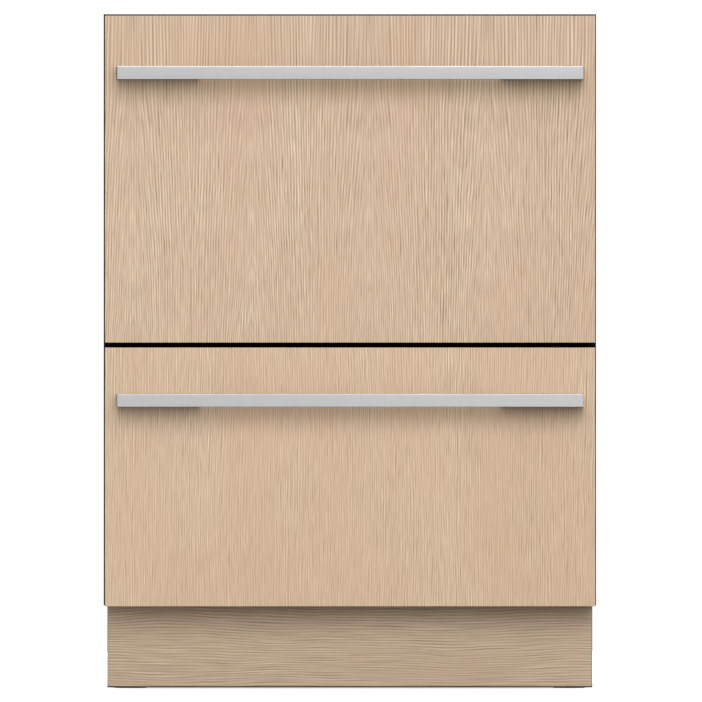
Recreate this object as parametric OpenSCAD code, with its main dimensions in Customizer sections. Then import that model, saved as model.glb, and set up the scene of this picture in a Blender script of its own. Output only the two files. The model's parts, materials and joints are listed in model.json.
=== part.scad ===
// Panel-ready double dishwasher drawer: a steel cabinet on four screw feet that holds two
// drawers, one over the other. Each drawer is a moulded tub behind an oak front with a bar
// handle. It runs on telescopic rails, and a lid closes it from above by dropping onto its rim.
// Millimetres. +Z is up, the fronts face -Y, and the origin lies on the floor under the
// middle of the whole, handles included.

/* [Cabinet] */
// Width over the black edge trim
cabinet_w = 599; // [590:1:620]
// Depth of the steel cabinet, from its front edge to its back
cabinet_d = 522; // [510:1:560]
// Height of the cabinet's top above the floor with the feet screwed right in
cabinet_top = 820; // [818:1:850]
// Height of the cabinet's floor above the ground with the feet screwed right in
foot_h = 30; // [24:1:36]
// Thickness of the folded steel sheet
sheet_t = 1.2; // [0.8:0.1:1.8]
// Height of the folded lips on the shelf and the top
lip_h = 10; // [8:1:14]
// Height of the base tray's front flange
tray_flange_h = 40; // [25:1:60]
// How far the toe kick stands past the base tray, on each side
tray_inset = 2; // [1:0.5:6]
// Depth of the recess for the connections, below the back panel
recess_d = 44; // [36:1:60]
// How far the feet screw out
foot_travel = 60; // [30:1:60]
// Radius of a foot's threaded stem
foot_stem_r = 5; // [4:0.5:7]
// Radius of a foot's pad
foot_pad_r = 20; // [14:1:24]
// Wall of the trim strip outside the steel edge
trim_wall = 0.6; // [0.4:0.1:0.8]
// Wall of the trim strip inside the steel edge
trim_inner = 1.6; // [1:0.1:2]
// How far the trim strip's nose stands in front of the steel edge
trim_nose = 2; // [1:0.1:2.5]
// How far the trim strip grips back over the steel edge
trim_grip = 7; // [5:0.5:8]
// Radius of the screws in the cabinet
screw_r = 1.9; // [1.5:0.1:2.4]
// Radius of their heads
screw_head_r = 3.4; // [2.8:0.1:3.8]

/* [Fronts] */
// How much narrower the oak fronts are than the cabinet, on each side
front_reveal = 1.5; // [0.5:0.5:6]
// Thickness of the oak fronts
front_t = 19; // [16:0.5:22]
// Height of the upper front
upper_front_h = 398.5; // [390:0.5:400]
// Height of the lower front
lower_front_h = 314.5; // [308:0.5:318]
// Gap between the two fronts
front_gap = 6; // [3:0.5:8]
// Height of the lower front's bottom edge above the floor
front_base = 100; // [98:0.5:101]
// How much narrower the toe kick is than the cabinet, on each side
kick_reveal = 4.5; // [2.5:0.5:14]
// Thickness of the toe kick
kick_t = 16; // [12:1:19]
// How far the toe kick's face lies behind the fronts' face
kick_setback = 52; // [50:1:60]
// Gap between the toe kick and the floor
kick_lift = 1; // [0.5:0.5:4]

/* [Handles] */
// Distance from each end of the handle bar to its front's edge
handle_inset = 14.5; // [8:0.5:90]
// Height of the bar and its posts
handle_h = 16; // [12:0.5:24]
// Thickness of the bar, front to back
bar_t = 8; // [6:0.5:16]
// Finger gap between the bar and the front
handle_gap = 32; // [20:0.5:36]
// Length of each end post along the bar
post_l = 100; // [30:1:120]
// Depth of the upper handle's centre line below its front's top edge
upper_handle_drop = 71; // [40:1:100]
// Depth of the lower handle's centre line below its front's top edge
lower_handle_drop = 64; // [40:1:100]

/* [Front casings] */
// Depth of the casing behind each front, which stands before the cabinet's edge
casing_d = 28; // [24:1:36]
// Wall of the casing
casing_wall = 2.5; // [1.5:0.1:4]
// How much smaller the casing is than its front, on each edge
casing_inset = 1.5; // [1:0.5:4]
// Gap between a casing's back and the cabinet's steel edge
door_gap = 3; // [2.8:0.1:5]
// Length of the control strip
strip_l = 320; // [290:1:420]
// Width of the control strip, front to back
strip_d = 20; // [16:0.5:22]
// Thickness of the control strip
strip_t = 3; // [2:0.5:4]
// Radius of a control button
button_r = 5.5; // [4:0.1:6.5]
// How far a button stands above its strip
button_proud = 1.6; // [1.3:0.1:2.5]
// How far a button travels
button_travel = 1.2; // [0.6:0.1:1.2]

/* [Tubs] */
// Wall of the moulded tubs
tub_wall = 3; // [2:0.5:4]
// Radius of the tubs' upright inner corners
tub_corner_r = 36; // [20:1:44]
// Width of the deck between the casing and the tub's front wall
tub_deck = 14; // [13:0.5:18]
// Space left behind the tubs for hoses
rear_space = 30; // [24:1:45]
// Depth of the sump below the tub's floor
sump_d = 14; // [11:1:18]
// Radius of the sump
sump_r = 112; // [95:1:120]
// Width of the rim flange on the sides and back
rim_flange = 7; // [6:0.5:7.5]
// Height of the ledge that carries the basket, above the tub's floor
ledge_h = 40; // [38:1:46]

/* [Lids] */
// Height of the lid's moulding
lid_t = 12; // [10:0.5:14]
// Wall of the lid's moulding
lid_wall = 2.5; // [2:0.1:3.5]
// How far a lid lifts clear of its tub
lid_lift = 10; // [8:0.5:12]
// Height of the rubber seal under the lid
seal_h = 4; // [3:0.5:5]
// Width of the rubber seal
seal_w = 4.5; // [3:0.5:5]
// Thickness of the lifter bars beside the lids
lifter_t = 8; // [7:0.5:8.5]
// Radius of the pins that carry the lid in the lifter bars
lid_pin_r = 2.4; // [1.8:0.1:2.8]

/* [Rails] */
// Width of a closed rail, from the cabinet's side to the tub
rail_t = 12.7; // [12:0.1:14]
// Height of a rail's outer member
rail_h = 45; // [38:1:50]
// Length of each rail member
rail_l = 480; // [460:1:490]
// Thickness of the rail steel
rail_steel = 1.5; // [1.2:0.1:1.6]
// Running gap between rail members
rail_play = 0.5; // [0.3:0.1:0.7]
// Height of the rails' centre line above the tub's floor
rail_rise = 70; // [60:1:90]

/* [Washing] */
// Height of the motor under the sump
motor_h = 34; // [30:1:36]
// Radius of the motor
motor_r = 84; // [60:1:95]
// Length of the spray arm from its axis to its tip
arm_l = 222; // [150:1:228]
// Thickness of the spray arm
arm_t = 10; // [7:0.5:12]
// Radius of the post that the spray arm turns on
arm_post_r = 8; // [6:0.5:10]
// Height of that post above the filter plate
arm_post_h = 22; // [20:1:24]
// Thickness of the filter plate
filter_t = 3; // [2:0.5:4]

/* [Racks] */
// Space between the tub's inner walls and the basket
basket_margin = 14; // [10:1:18]
// Height of the upper basket
upper_basket_h = 130; // [115:1:150]
// Height of the lower basket
lower_basket_h = 92; // [80:1:95]
// Radius of the basket's wires
wire_r = 1.6; // [1.2:0.1:2]
// Radius of the bends at the basket's corners
bend_r = 30; // [22:1:40]
// Radius of the basket's rim wire
rim_wire_r = 2.5; // [2:0.1:3]
// Wires across the basket's floor
cross_wires = 9; // [7:2:11]
// Wires along the basket's floor
long_wires = 11; // [7:1:15]
// Height of the plate tines
tine_h = 68; // [50:1:80]
// Spacing of the plate tines
tine_pitch = 26; // [22:1:27]
// Width of the cutlery basket
cutlery_w = 104; // [80:1:110]
// Length of the cutlery basket
cutlery_l = 232; // [160:1:260]
// Height of the cutlery basket
cutlery_h = 100; // [80:1:115]
// Wall of the cutlery basket
cutlery_wall = 2; // [1.5:0.5:3]
// Width of the fold-up cup rack
cup_rack_w = 84; // [60:1:95]
// Length of the fold-up cup rack
cup_rack_l = 360; // [330:1:400]

/* [Dispensers] */
// Width of the dispenser's face
dispenser_w = 212; // [205:1:240]
// Height of the dispenser's face
dispenser_h = 78; // [74:1:84]
// Thickness of the dispenser's face
dispenser_face_t = 4; // [3:0.5:5]
// Width of the detergent cup
cup_w = 58; // [40:1:60]
// Height of the detergent cup
cup_h = 44; // [30:1:48]
// Radius of the rinse-aid cap
cap_r = 19; // [14:1:22]

/* [Connections] */
// Distance of the water inlet from the base tray's left side
inlet_side = 73; // [68:1:120]
// Distance of the drain from the base tray's right side
drain_side = 148; // [140:1:200]
// Distance of the mains lead from the base tray's right side
lead_side = 88; // [78:1:95]
// Distance of the side and top fixing screws from the cabinet's front edge
fixing_setback = 24; // [18:1:40]
// Radius of the threaded water inlet
inlet_r = 13.2; // [11:0.1:14]
// Length of the threaded water inlet
inlet_l = 14; // [9:1:20]
// Radius of the drain spigot
drain_r = 9.5; // [8:0.5:12]
// Length of the drain spigot
drain_l = 26; // [15:1:28]
// Radius of the hole for the mains lead
lead_r = 4.2; // [3:0.1:6]
// Radius of the fixing-screw holes
fixing_r = 2.4; // [2:0.1:3]

/* [Hidden] */
$fn = 48;

// Clearances
fit = 0.3;      // round pins and caps in their holes, and under what is only laid in place
pin_play = 0.1; // round rods that turn in their clips
touch = 0.05;   // between welded wires, so that each stays a solid of its own
cut = 1;        // how far a cutting shape runs past a face

// Places along Y, from the handles' faces to the screw heads on the cabinet's back
screw_head_h = 2;
total_d = bar_t + handle_gap + front_t + casing_d + door_gap + cabinet_d + screw_head_h;
y_bar = -total_d / 2;
y_front = y_bar + bar_t + handle_gap;
y_casing = y_front + front_t;
y_tub = y_casing + casing_d;
y_cabinet = y_tub + door_gap;
y_back = y_cabinet + cabinet_d;
y_kick = y_front + kick_setback;
y_tray = y_kick + kick_t;
y_ports = y_back - recess_d;

// Outside and inside faces of the cabinet's sides, and the widths of what stands before it
side_x = cabinet_w / 2 - trim_wall;
inner_x = side_x - sheet_t;
front_w = cabinet_w - 2 * front_reveal;
kick_w = cabinet_w - 2 * kick_reveal;
tray_x = kick_w / 2 - tray_inset;
handle_l = front_w - 2 * handle_inset;

// Drawers are numbered LOWER and UPPER
LOWER = 0;
UPPER = 1;
both = [LOWER, UPPER];
front_h = [lower_front_h, upper_front_h];
front_z = [front_base, front_base + lower_front_h + front_gap];
handle_z = [
  front_z[LOWER] + lower_front_h - lower_handle_drop,
  front_z[UPPER] + upper_front_h - upper_handle_drop
];

// The shelf between the drawers lies behind the gap between their fronts
shelf_top = front_z[UPPER] - front_gap / 2 + lip_h / 2;
bay_clear = 3;
kick_top = front_base + 2;
bay_floor = [kick_top + bay_clear, shelf_top + bay_clear];
bay_top = [shelf_top - sheet_t, cabinet_top - sheet_t];

// Heights inside each drawer
lid_headroom = 4;
rim_z = [for (d = both) bay_top[d] - lid_headroom - lid_t - seal_h - lid_lift];
sump_z = [for (d = both) bay_floor[d] + motor_h];
floor_z = [for (d = both) sump_z[d] + sump_d + tub_wall];
rail_z = [for (d = both) floor_z[d] + rail_rise];

// Tub outline
tub_x = inner_x - rail_t;
tub_front = y_tub + tub_deck;
tub_back = y_back - sheet_t - rear_space;
tub_mid = (tub_front + tub_back) / 2;
tub_l = tub_back - tub_front;
tub_in_x = tub_x - tub_wall;
tub_in_front = tub_front + tub_wall;
tub_in_l = tub_l - 2 * tub_wall;

// A rectangle centred on the origin with round corners
module rounded_rect(w, l, r) {
  square([w - 2 * r, l], center = true);
  square([w, l - 2 * r], center = true);
  for (x = [-1, 1], y = [-1, 1])
    translate([x * (w / 2 - r), y * (l / 2 - r)]) circle(r);
}

// A slab with round upright corners, standing on z = 0
module slab(w, l, h, r) {
  linear_extrude(h) rounded_rect(w, l, r);
}

// A box between any two opposite corners
module block(a, b) {
  low = [for (i = [0 : 2]) min(a[i], b[i])];
  high = [for (i = [0 : 2]) max(a[i], b[i])];
  translate(low) cube(high - low);
}

// Cylinders along X, along Y and upright, from the middle of one end
module bar_x(p, l, r) {
  translate(p) rotate([0, 90, 0]) cylinder(h = l, r = r);
}
module bar_y(p, l, r) {
  translate(p) rotate([-90, 0, 0]) cylinder(h = l, r = r);
}
module bar_z(p, l, r) {
  translate(p) cylinder(h = l, r = r);
}

// ---------------------------------------------------------------- cabinet

// Screws into neighbouring furniture pass the sides near the front edge, and screws into a
// worktop pass the top
fixing_y = y_cabinet + fixing_setback;
side_fixing_z = [340, 700];
top_fixing_x = inner_x - 47.7;

// Back screws go through the back sheet into the lips of the top and the shelf
back_screw_x = [for (i = [-1.5 : 1.5]) i * (inner_x - 37.7) / 1.5];
back_screw_z = [for (top = [cabinet_top, shelf_top]) top - (lip_h + sheet_t) / 2];
module at_back_screws() {
  for (x = back_screw_x, z = back_screw_z)
    translate([x, y_back, z]) rotate([90, 0, 0]) children();
}

// Toe kick screws go through the tray's front flange into the board
kick_screw_inset = 75;
kick_screw_x = [for (i = [-1 : 1]) i * (kick_w / 2 - kick_screw_inset)];
kick_screw_depth = 10;
module at_kick_screws() {
  for (x = kick_screw_x)
    translate([x, y_tray + sheet_t, foot_h + tray_flange_h - 10]) rotate([90, 0, 0]) children();
}

// A pan-head screw that points along +Z from its seat at z = 0
module screw(l) {
  bar_z([0, 0, -screw_head_h], screw_head_h, screw_head_r);
  bar_z([0, 0, 0], l, screw_r);
}
module screw_hole(l) {
  bar_z([0, 0, -cut], l + cut, screw_r + pin_play);
}

// One side sheet, which ends above the toe kick
side_base = kick_top - sheet_t;
module side_panel(side) {
  low_x = min(side * inner_x, side * side_x);
  color("silver")
  difference() {
    block([low_x, y_cabinet, side_base], [low_x + sheet_t, y_back - sheet_t, cabinet_top - sheet_t]);
    for (z = side_fixing_z)
      bar_x([low_x - cut, fixing_y, z], sheet_t + 2 * cut, fixing_r);
  }
}

// Top sheet with a lip folded down inside the back
module top_panel() {
  color("silver")
  difference() {
    union() {
      block([-side_x, y_cabinet, cabinet_top - sheet_t], [side_x, y_back, cabinet_top]);
      block([-inner_x, y_back - 2 * sheet_t, cabinet_top - lip_h],
            [inner_x, y_back - sheet_t, cabinet_top]);
    }
    for (x = [-top_fixing_x, top_fixing_x])
      bar_z([x, fixing_y, cabinet_top - sheet_t - cut], sheet_t + 2 * cut, fixing_r);
    at_back_screws() screw_hole(3 * sheet_t);
  }
}

// Back sheet: it ends above the connections, and two pressed swages stiffen it
port_rise = 30;
port_r = 15.5;
port_collar_r = port_r - 0.5;
port_z = foot_h + sheet_t + port_rise;
port_flange_top = port_z + port_r + 8;
back_base = port_flange_top + 15;
swage_w = 2 * (side_x - 80);
swage_h = 90;
swage_rise = 60;
swage_t = 4;
swage_r = 20;
module back_panel() {
  color("silver")
  difference() {
    union() {
      block([-side_x, y_back - sheet_t, back_base], [side_x, y_back, cabinet_top - sheet_t]);
      for (d = both)
        translate([0, y_back - sheet_t, rail_z[d] + swage_rise]) rotate([90, 0, 0])
          slab(swage_w, swage_h, swage_t, swage_r);
    }
    for (d = both)
      translate([0, y_back + cut, rail_z[d] + swage_rise]) rotate([90, 0, 0])
        slab(swage_w - 2 * sheet_t, swage_h - 2 * sheet_t, swage_t + cut, swage_r - sheet_t);
    at_back_screws() screw_hole(3 * sheet_t);
  }
}

// Feet: where they stand, and the tray's sockets for their stems
foot_x = tray_x - foot_pad_r - 6;
foot_y = [y_tray + foot_pad_r + 8, y_ports - foot_pad_r - 6];
foot_pad_h = 8;
foot_hex_h = 6;
foot_stem_top = kick_top - bay_clear;
socket_wall = 4;
socket_grip = 32;
socket_top = foot_stem_top - foot_travel + socket_grip;

// Places of the connections across the back
inlet_x = inlet_side - tray_x;
drain_x = tray_x - drain_side;
lead_x = tray_x - lead_side;

// Base: a pan of sheet, hidden behind the toe kick, whose sides turn out to carry the side
// sheets. It has sockets for the feet and a flange that carries the connections
module base_tray() {
  y_end = y_back - sheet_t;
  color("silver")
  difference() {
    union() {
      block([-tray_x, y_tray, foot_h], [tray_x, y_end, foot_h + sheet_t]);
      block([-tray_x, y_tray, foot_h], [tray_x, y_tray + sheet_t, foot_h + tray_flange_h]);
      block([-tray_x, y_ports, foot_h], [tray_x, y_ports + sheet_t, port_flange_top]);
      for (side = [-1, 1]) {
        block([side * tray_x, y_tray, foot_h],
              [side * (tray_x - sheet_t), y_end, side_base + sheet_t]);
        block([side * (tray_x - sheet_t), y_tray, side_base],
              [side * inner_x, y_end, side_base + sheet_t]);
      }
      for (x = [-foot_x, foot_x], y = foot_y)
        bar_z([x, y, foot_h], socket_top - foot_h, foot_stem_r + socket_wall);
    }
    for (x = [-foot_x, foot_x], y = foot_y)
      bar_z([x, y, foot_h - cut], socket_top - foot_h + 2 * cut, foot_stem_r + fit);
    for (x = [inlet_x, drain_x, lead_x])
      bar_y([x, y_ports - cut, port_z], sheet_t + 2 * cut, port_r);
    at_kick_screws() screw_hole(sheet_t + cut);
  }
}

// Shelf between the drawers, with its lips folded down at front and back
module centre_shelf() {
  color("silver")
  difference() {
    union() {
      block([-inner_x, y_cabinet, shelf_top - sheet_t], [inner_x, y_back - sheet_t, shelf_top]);
      for (y = [y_cabinet, y_back - 2 * sheet_t])
        block([-inner_x, y, shelf_top - lip_h], [inner_x, y + sheet_t, shelf_top]);
    }
    for (side = [-1, 1])
      block([side * (inner_x - trim_inner), y_cabinet - cut, shelf_top - lip_h - cut],
            [side * (inner_x + cut), y_cabinet + trim_grip, shelf_top + cut]);
    at_back_screws() screw_hole(3 * sheet_t);
  }
}

// Black strips that clip over the steel's front edges: two sides, the top and the shelf
module front_trim() {
  nose = y_cabinet - trim_nose;
  heel = y_cabinet + trim_grip;
  foot = side_base;
  top_strip = cabinet_top - sheet_t - trim_inner;
  color([0.06, 0.06, 0.06]) {
    for (side = [-1, 1])
      difference() {
        block([side * cabinet_w / 2, nose, foot],
              [side * (inner_x - trim_inner), heel, top_strip]);
        block([side * side_x, y_cabinet, foot - cut],
              [side * inner_x, heel + cut, cabinet_top]);
      }
    difference() {
      block([-cabinet_w / 2, nose, top_strip], [cabinet_w / 2, heel, cabinet_top]);
      block([-cabinet_w / 2 - cut, y_cabinet, cabinet_top - sheet_t],
            [cabinet_w / 2 + cut, heel + cut, cabinet_top + cut]);
      for (side = [-1, 1])
        block([side * side_x, y_cabinet, top_strip - cut],
              [side * inner_x, heel + cut, cabinet_top]);
    }
    block([-inner_x + trim_inner, nose, shelf_top - lip_h],
          [inner_x - trim_inner, y_cabinet, shelf_top]);
  }
}

// Screws that hold the back to the top and the shelf, and the toe kick to the tray
module cabinet_screws() {
  color("dimgray") {
    at_back_screws() screw(2 * sheet_t + 3);
    at_kick_screws() screw(sheet_t + kick_screw_depth);
  }
}

// Oak plinth board under the lower front
module toe_kick() {
  color("burlywood")
  difference() {
    block([-kick_w / 2, y_kick, kick_lift], [kick_w / 2, y_tray, kick_top]);
    at_kick_screws() screw_hole(sheet_t + kick_screw_depth + fit);
  }
}

// ---------------------------------------------------------------- connections

// Solenoid valve with its threaded inlet through the tray's rear flange
valve_w = 34;
valve_l = 36;
valve_top = port_z + 16;
coil_r = 12;
coil_h = 18;
inlet_wall = 3.5;
module inlet_valve() {
  color("white")
  translate([inlet_x, 0, 0]) {
    difference() {
      union() {
        block([-valve_w / 2, y_ports - valve_l, foot_h + sheet_t],
              [valve_w / 2, y_ports, valve_top]);
        bar_y([0, y_ports - cut, port_z], cut + sheet_t, port_collar_r);
        bar_y([0, y_ports, port_z], sheet_t + inlet_l, inlet_r);
      }
      bar_y([0, y_ports - valve_l / 3, port_z], valve_l + inlet_l, inlet_r - inlet_wall);
    }
    bar_z([0, y_ports - valve_l / 2, valve_top], coil_h, coil_r);
  }
}

// Moulded elbow with the hose spigot through the tray's rear flange
elbow_w = 30;
elbow_l = 30;
drain_wall = 2;
module drain_connector() {
  color("dimgray")
  translate([drain_x, 0, 0])
  difference() {
    union() {
      block([-elbow_w / 2, y_ports - elbow_l, foot_h + sheet_t],
            [elbow_w / 2, y_ports, port_z + elbow_w / 2]);
      bar_y([0, y_ports - cut, port_z], cut + sheet_t, port_collar_r);
      bar_y([0, y_ports, port_z], sheet_t + drain_l, drain_r);
    }
    bar_y([0, y_ports - elbow_l / 2, port_z], elbow_l + drain_l, drain_r - drain_wall);
    bar_z([0, y_ports - elbow_l / 2, port_z], elbow_w, drain_r - drain_wall);
  }
}

// Terminal box with the hole for the mains lead
terminal_w = 48;
terminal_l = 60;
terminal_top = port_z + 22;
terminal_wall = 2.5;
gland_l = 6;
module mains_box() {
  color("black")
  translate([lead_x, 0, 0])
  difference() {
    union() {
      block([-terminal_w / 2, y_ports - terminal_l, foot_h + sheet_t],
            [terminal_w / 2, y_ports, terminal_top]);
      bar_y([0, y_ports - cut, port_z], cut + sheet_t + gland_l, port_r - 4);
    }
    block([-terminal_w / 2 + terminal_wall, y_ports - terminal_l + terminal_wall,
           foot_h + sheet_t + terminal_wall],
          [terminal_w / 2 - terminal_wall, y_ports - terminal_wall,
           terminal_top - terminal_wall]);
    bar_y([0, y_ports - terminal_wall - cut, port_z], terminal_l, lead_r);
  }
}

// ---------------------------------------------------------------- screw feet

module foot(x, y) {
  color("dimgray")
  translate([x, y, 0]) {
    bar_z([0, 0, 0], foot_pad_h, foot_pad_r);
    translate([0, 0, foot_pad_h]) cylinder(h = foot_hex_h, r = foot_stem_r * 2, $fn = 6);
    bar_z([0, 0, foot_pad_h + foot_hex_h], foot_stem_top - foot_pad_h - foot_hex_h, foot_stem_r);
  }
}

// ---------------------------------------------------------------- rails

rail_start = y_cabinet + trim_grip + 3;
middle_h = rail_h - 2 * (rail_steel + rail_play);
inner_h = middle_h - 2 * (rail_steel + rail_play);
middle_in = rail_steel + 2.2;
inner_depth = rail_t - middle_in - rail_steel - rail_play;
outer_depth = rail_t * 2 / 3;

// A channel along Y that opens towards -X. Its web's outer face is at x = 0
module channel(h, depth) {
  block([-rail_steel, 0, -h / 2], [0, rail_l, h / 2]);
  for (z = [-h / 2, h / 2 - rail_steel])
    block([-depth, 0, z], [0, rail_l, z + rail_steel]);
}

// The fixed members on both sides of both bays
module outer_rails() {
  color("gainsboro")
  for (d = both, side = [0, 1])
    mirror([side, 0, 0]) translate([inner_x, rail_start, rail_z[d]])
      channel(rail_h, outer_depth);
}

// The members between, which move half as far as the drawer
module middle_rails(d) {
  color("gainsboro")
  for (side = [0, 1])
    mirror([side, 0, 0]) translate([inner_x - middle_in, rail_start, rail_z[d]])
      channel(middle_h, inner_depth);
}

// The members on the tub
module inner_rails(d) {
  color("gainsboro")
  for (side = [0, 1])
    mirror([side, 0, 0]) translate([tub_x, rail_start, rail_z[d]]) mirror([1, 0, 0])
      channel(inner_h, inner_depth);
}

// ---------------------------------------------------------------- lids

lid_side_gap = 0.8;
lid_x = inner_x - lifter_t - lid_side_gap;
lid_front = y_cabinet + trim_grip - 1;
lid_back = tub_back + rim_flange;
lid_l = lid_back - lid_front;
lid_mid = (lid_front + lid_back) / 2;
lid_z = [for (d = both) rim_z[d] + lid_lift + seal_h];
lid_corner_r = tub_corner_r - 6;
lid_pin_inset = 70;
lifter_inset = 30;
lid_pin_y = [lid_front + lid_pin_inset, lid_back - lid_pin_inset];
lid_pin_l = lifter_t - 2;
rib_t = 2;

// Lid moulding: smooth below, ribbed on top, carried by four side pins
module lid(d) {
  color("whitesmoke")
  translate([0, 0, lid_z[d]]) {
    difference() {
      translate([0, lid_mid, 0]) slab(2 * lid_x, lid_l, lid_t, lid_corner_r);
      translate([0, lid_mid, lid_wall])
        slab(2 * (lid_x - lid_wall), lid_l - 2 * lid_wall, lid_t, lid_corner_r - lid_wall);
    }
    for (i = [-2 : 2])
      block([(i * lid_x - rib_t) / 3, lid_front + lid_wall / 2, lid_wall / 2],
            [(i * lid_x + rib_t) / 3, lid_back - lid_wall / 2, lid_t - rib_t]);
    for (side = [0, 1], y = lid_pin_y)
      mirror([side, 0, 0])
        bar_x([lid_x - lid_wall / 2, y, lid_t / 2], lid_pin_l + lid_wall / 2, lid_pin_r);
  }
}

// Rubber seal round the lid's underside, over the middle of the tub's rim
seal_x = (tub_in_x + tub_x + rim_flange + seal_w) / 2 - 1;
seal_edge = lid_x - min(seal_x, lid_x - 0.5);
module lid_seal(d) {
  color([0.15, 0.15, 0.15])
  translate([0, lid_mid, lid_z[d] - seal_h])
  difference() {
    slab(2 * (lid_x - seal_edge), lid_l - 2 * seal_edge, seal_h, lid_corner_r - seal_edge);
    translate([0, 0, -cut])
      slab(2 * (lid_x - seal_edge - seal_w), lid_l - 2 * (seal_edge + seal_w),
           seal_h + 2 * cut, lid_corner_r - seal_edge - seal_w);
  }
}

// Bars on the cabinet's sides with upright slots for the lids' pins
module lid_lifters() {
  color("dimgray")
  for (d = both, side = [0, 1])
    mirror([side, 0, 0])
    difference() {
      block([inner_x - lifter_t, lid_front + lifter_inset, rim_z[d] + lid_headroom],
            [inner_x, lid_back - lifter_inset, bay_top[d]]);
      for (y = lid_pin_y) {
        for (z = [0, -lid_lift])
          bar_x([inner_x - lifter_t - cut, y, lid_z[d] + lid_t / 2 + z],
                lifter_t, lid_pin_r + fit);
        block([inner_x - lifter_t - cut, y - lid_pin_r - fit, lid_z[d] + lid_t / 2 - lid_lift],
              [inner_x - cut, y + lid_pin_r + fit, lid_z[d] + lid_t / 2]);
      }
    }
}

// ---------------------------------------------------------------- fronts

module front_panel(d) {
  color("burlywood")
    block([-front_w / 2, y_front, front_z[d]], [front_w / 2, y_casing, front_z[d] + front_h[d]]);
}

// Square bar with a long post at each end
module handle(d) {
  z = handle_z[d] - handle_h / 2;
  color("silver") {
    block([-handle_l / 2, y_bar, z], [handle_l / 2, y_bar + bar_t, z + handle_h]);
    for (side = [-1, 1])
      block([side * handle_l / 2, y_bar + bar_t / 2, z],
            [side * (handle_l / 2 - post_l), y_front, z + handle_h]);
  }
}

// Casing between the oak front and the tub: a hollow moulding, open at its back behind the
// tub, with a bed for the controls in its top edge and two brackets that the tub screws to
casing_x = front_w / 2 - casing_inset;
casing_z = [for (d = both) front_z[d] + casing_inset];
casing_top = [for (d = both) front_z[d] + front_h[d] - casing_inset];
strip_y = y_casing + casing_d / 2;
strip_bed = 5;
collar_h = 1.5;
collar_out = 0.7;
button_inset = 30;
button_pitch = 70;
button_end = strip_l / 2 - button_inset;
button_x = [-button_end, button_end - button_pitch, button_end];
bracket_x = tub_x - 85;
bracket_w = 24;
bracket_z = [20, 60];
module front_casing(d) {
  z0 = casing_z[d];
  z1 = casing_top[d];
  window_x = tub_x - 24;
  bed_z = z1 - strip_t - strip_bed;
  color([0.2, 0.2, 0.2]) {
    difference() {
      block([-casing_x, y_casing, z0], [casing_x, y_tub, z1]);
      difference() {
        block([-casing_x + casing_wall, y_casing + casing_wall, z0 + casing_wall],
              [casing_x - casing_wall, y_tub - casing_wall, z1 - casing_wall]);
        block([-strip_l / 2 - casing_wall, y_casing, bed_z - casing_wall],
              [strip_l / 2 + casing_wall, y_tub, z1]);
      }
      block([-window_x, y_tub - casing_wall - cut, floor_z[d] + 6],
            [window_x, y_tub + cut, rim_z[d] - 12]);
      block([-strip_l / 2 - fit, strip_y - strip_d / 2 - fit, z1 - strip_t],
            [strip_l / 2 + fit, strip_y + strip_d / 2 + fit, z1 + cut]);
      for (x = button_x)
        bar_z([x, strip_y, bed_z], strip_bed + cut, button_r + collar_out + fit);
    }
    for (side = [-1, 1])
      block([side * bracket_x - bracket_w / 2, y_casing + casing_wall / 2, floor_z[d] + bracket_z[0]],
            [side * bracket_x + bracket_w / 2, tub_front, floor_z[d] + bracket_z[1]]);
  }
}

// Glossy strip in the casing's top edge, with a hole for each button
module control_strip(d) {
  z1 = casing_top[d];
  color([0.05, 0.05, 0.06])
  difference() {
    block([-strip_l / 2, strip_y - strip_d / 2, z1 - strip_t],
          [strip_l / 2, strip_y + strip_d / 2, z1]);
    for (x = button_x)
      bar_z([x, strip_y, z1 - strip_t - cut], strip_t + 2 * cut, button_r + fit);
  }
}

// Push button with a collar under the strip and a stem towards its switch
module button(d, x) {
  z1 = casing_top[d];
  collar_z = z1 - strip_t - fit - collar_h;
  stem_z = z1 - strip_t - strip_bed + button_travel + fit;
  color("silver")
  translate([x, strip_y, 0]) {
    bar_z([0, 0, collar_z], z1 + button_proud - collar_z, button_r);
    bar_z([0, 0, collar_z], collar_h, button_r + collar_out);
    bar_z([0, 0, stem_z], collar_z + collar_h - stem_z, button_r / 2);
  }
}

// ---------------------------------------------------------------- tubs

dispenser_drop = 16;
dispenser_z = [for (d = both) rim_z[d] - dispenser_drop - dispenser_h / 2];
dispenser_body_w = dispenser_w - 16;
dispenser_body_h = dispenser_h - 14;
step_r = sump_r + 14;
ledge_w = basket_margin + 4;
ledge_t = 6;
ledge_l = tub_in_l * 2 / 3;
shaft_hole_r = 12;

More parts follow.
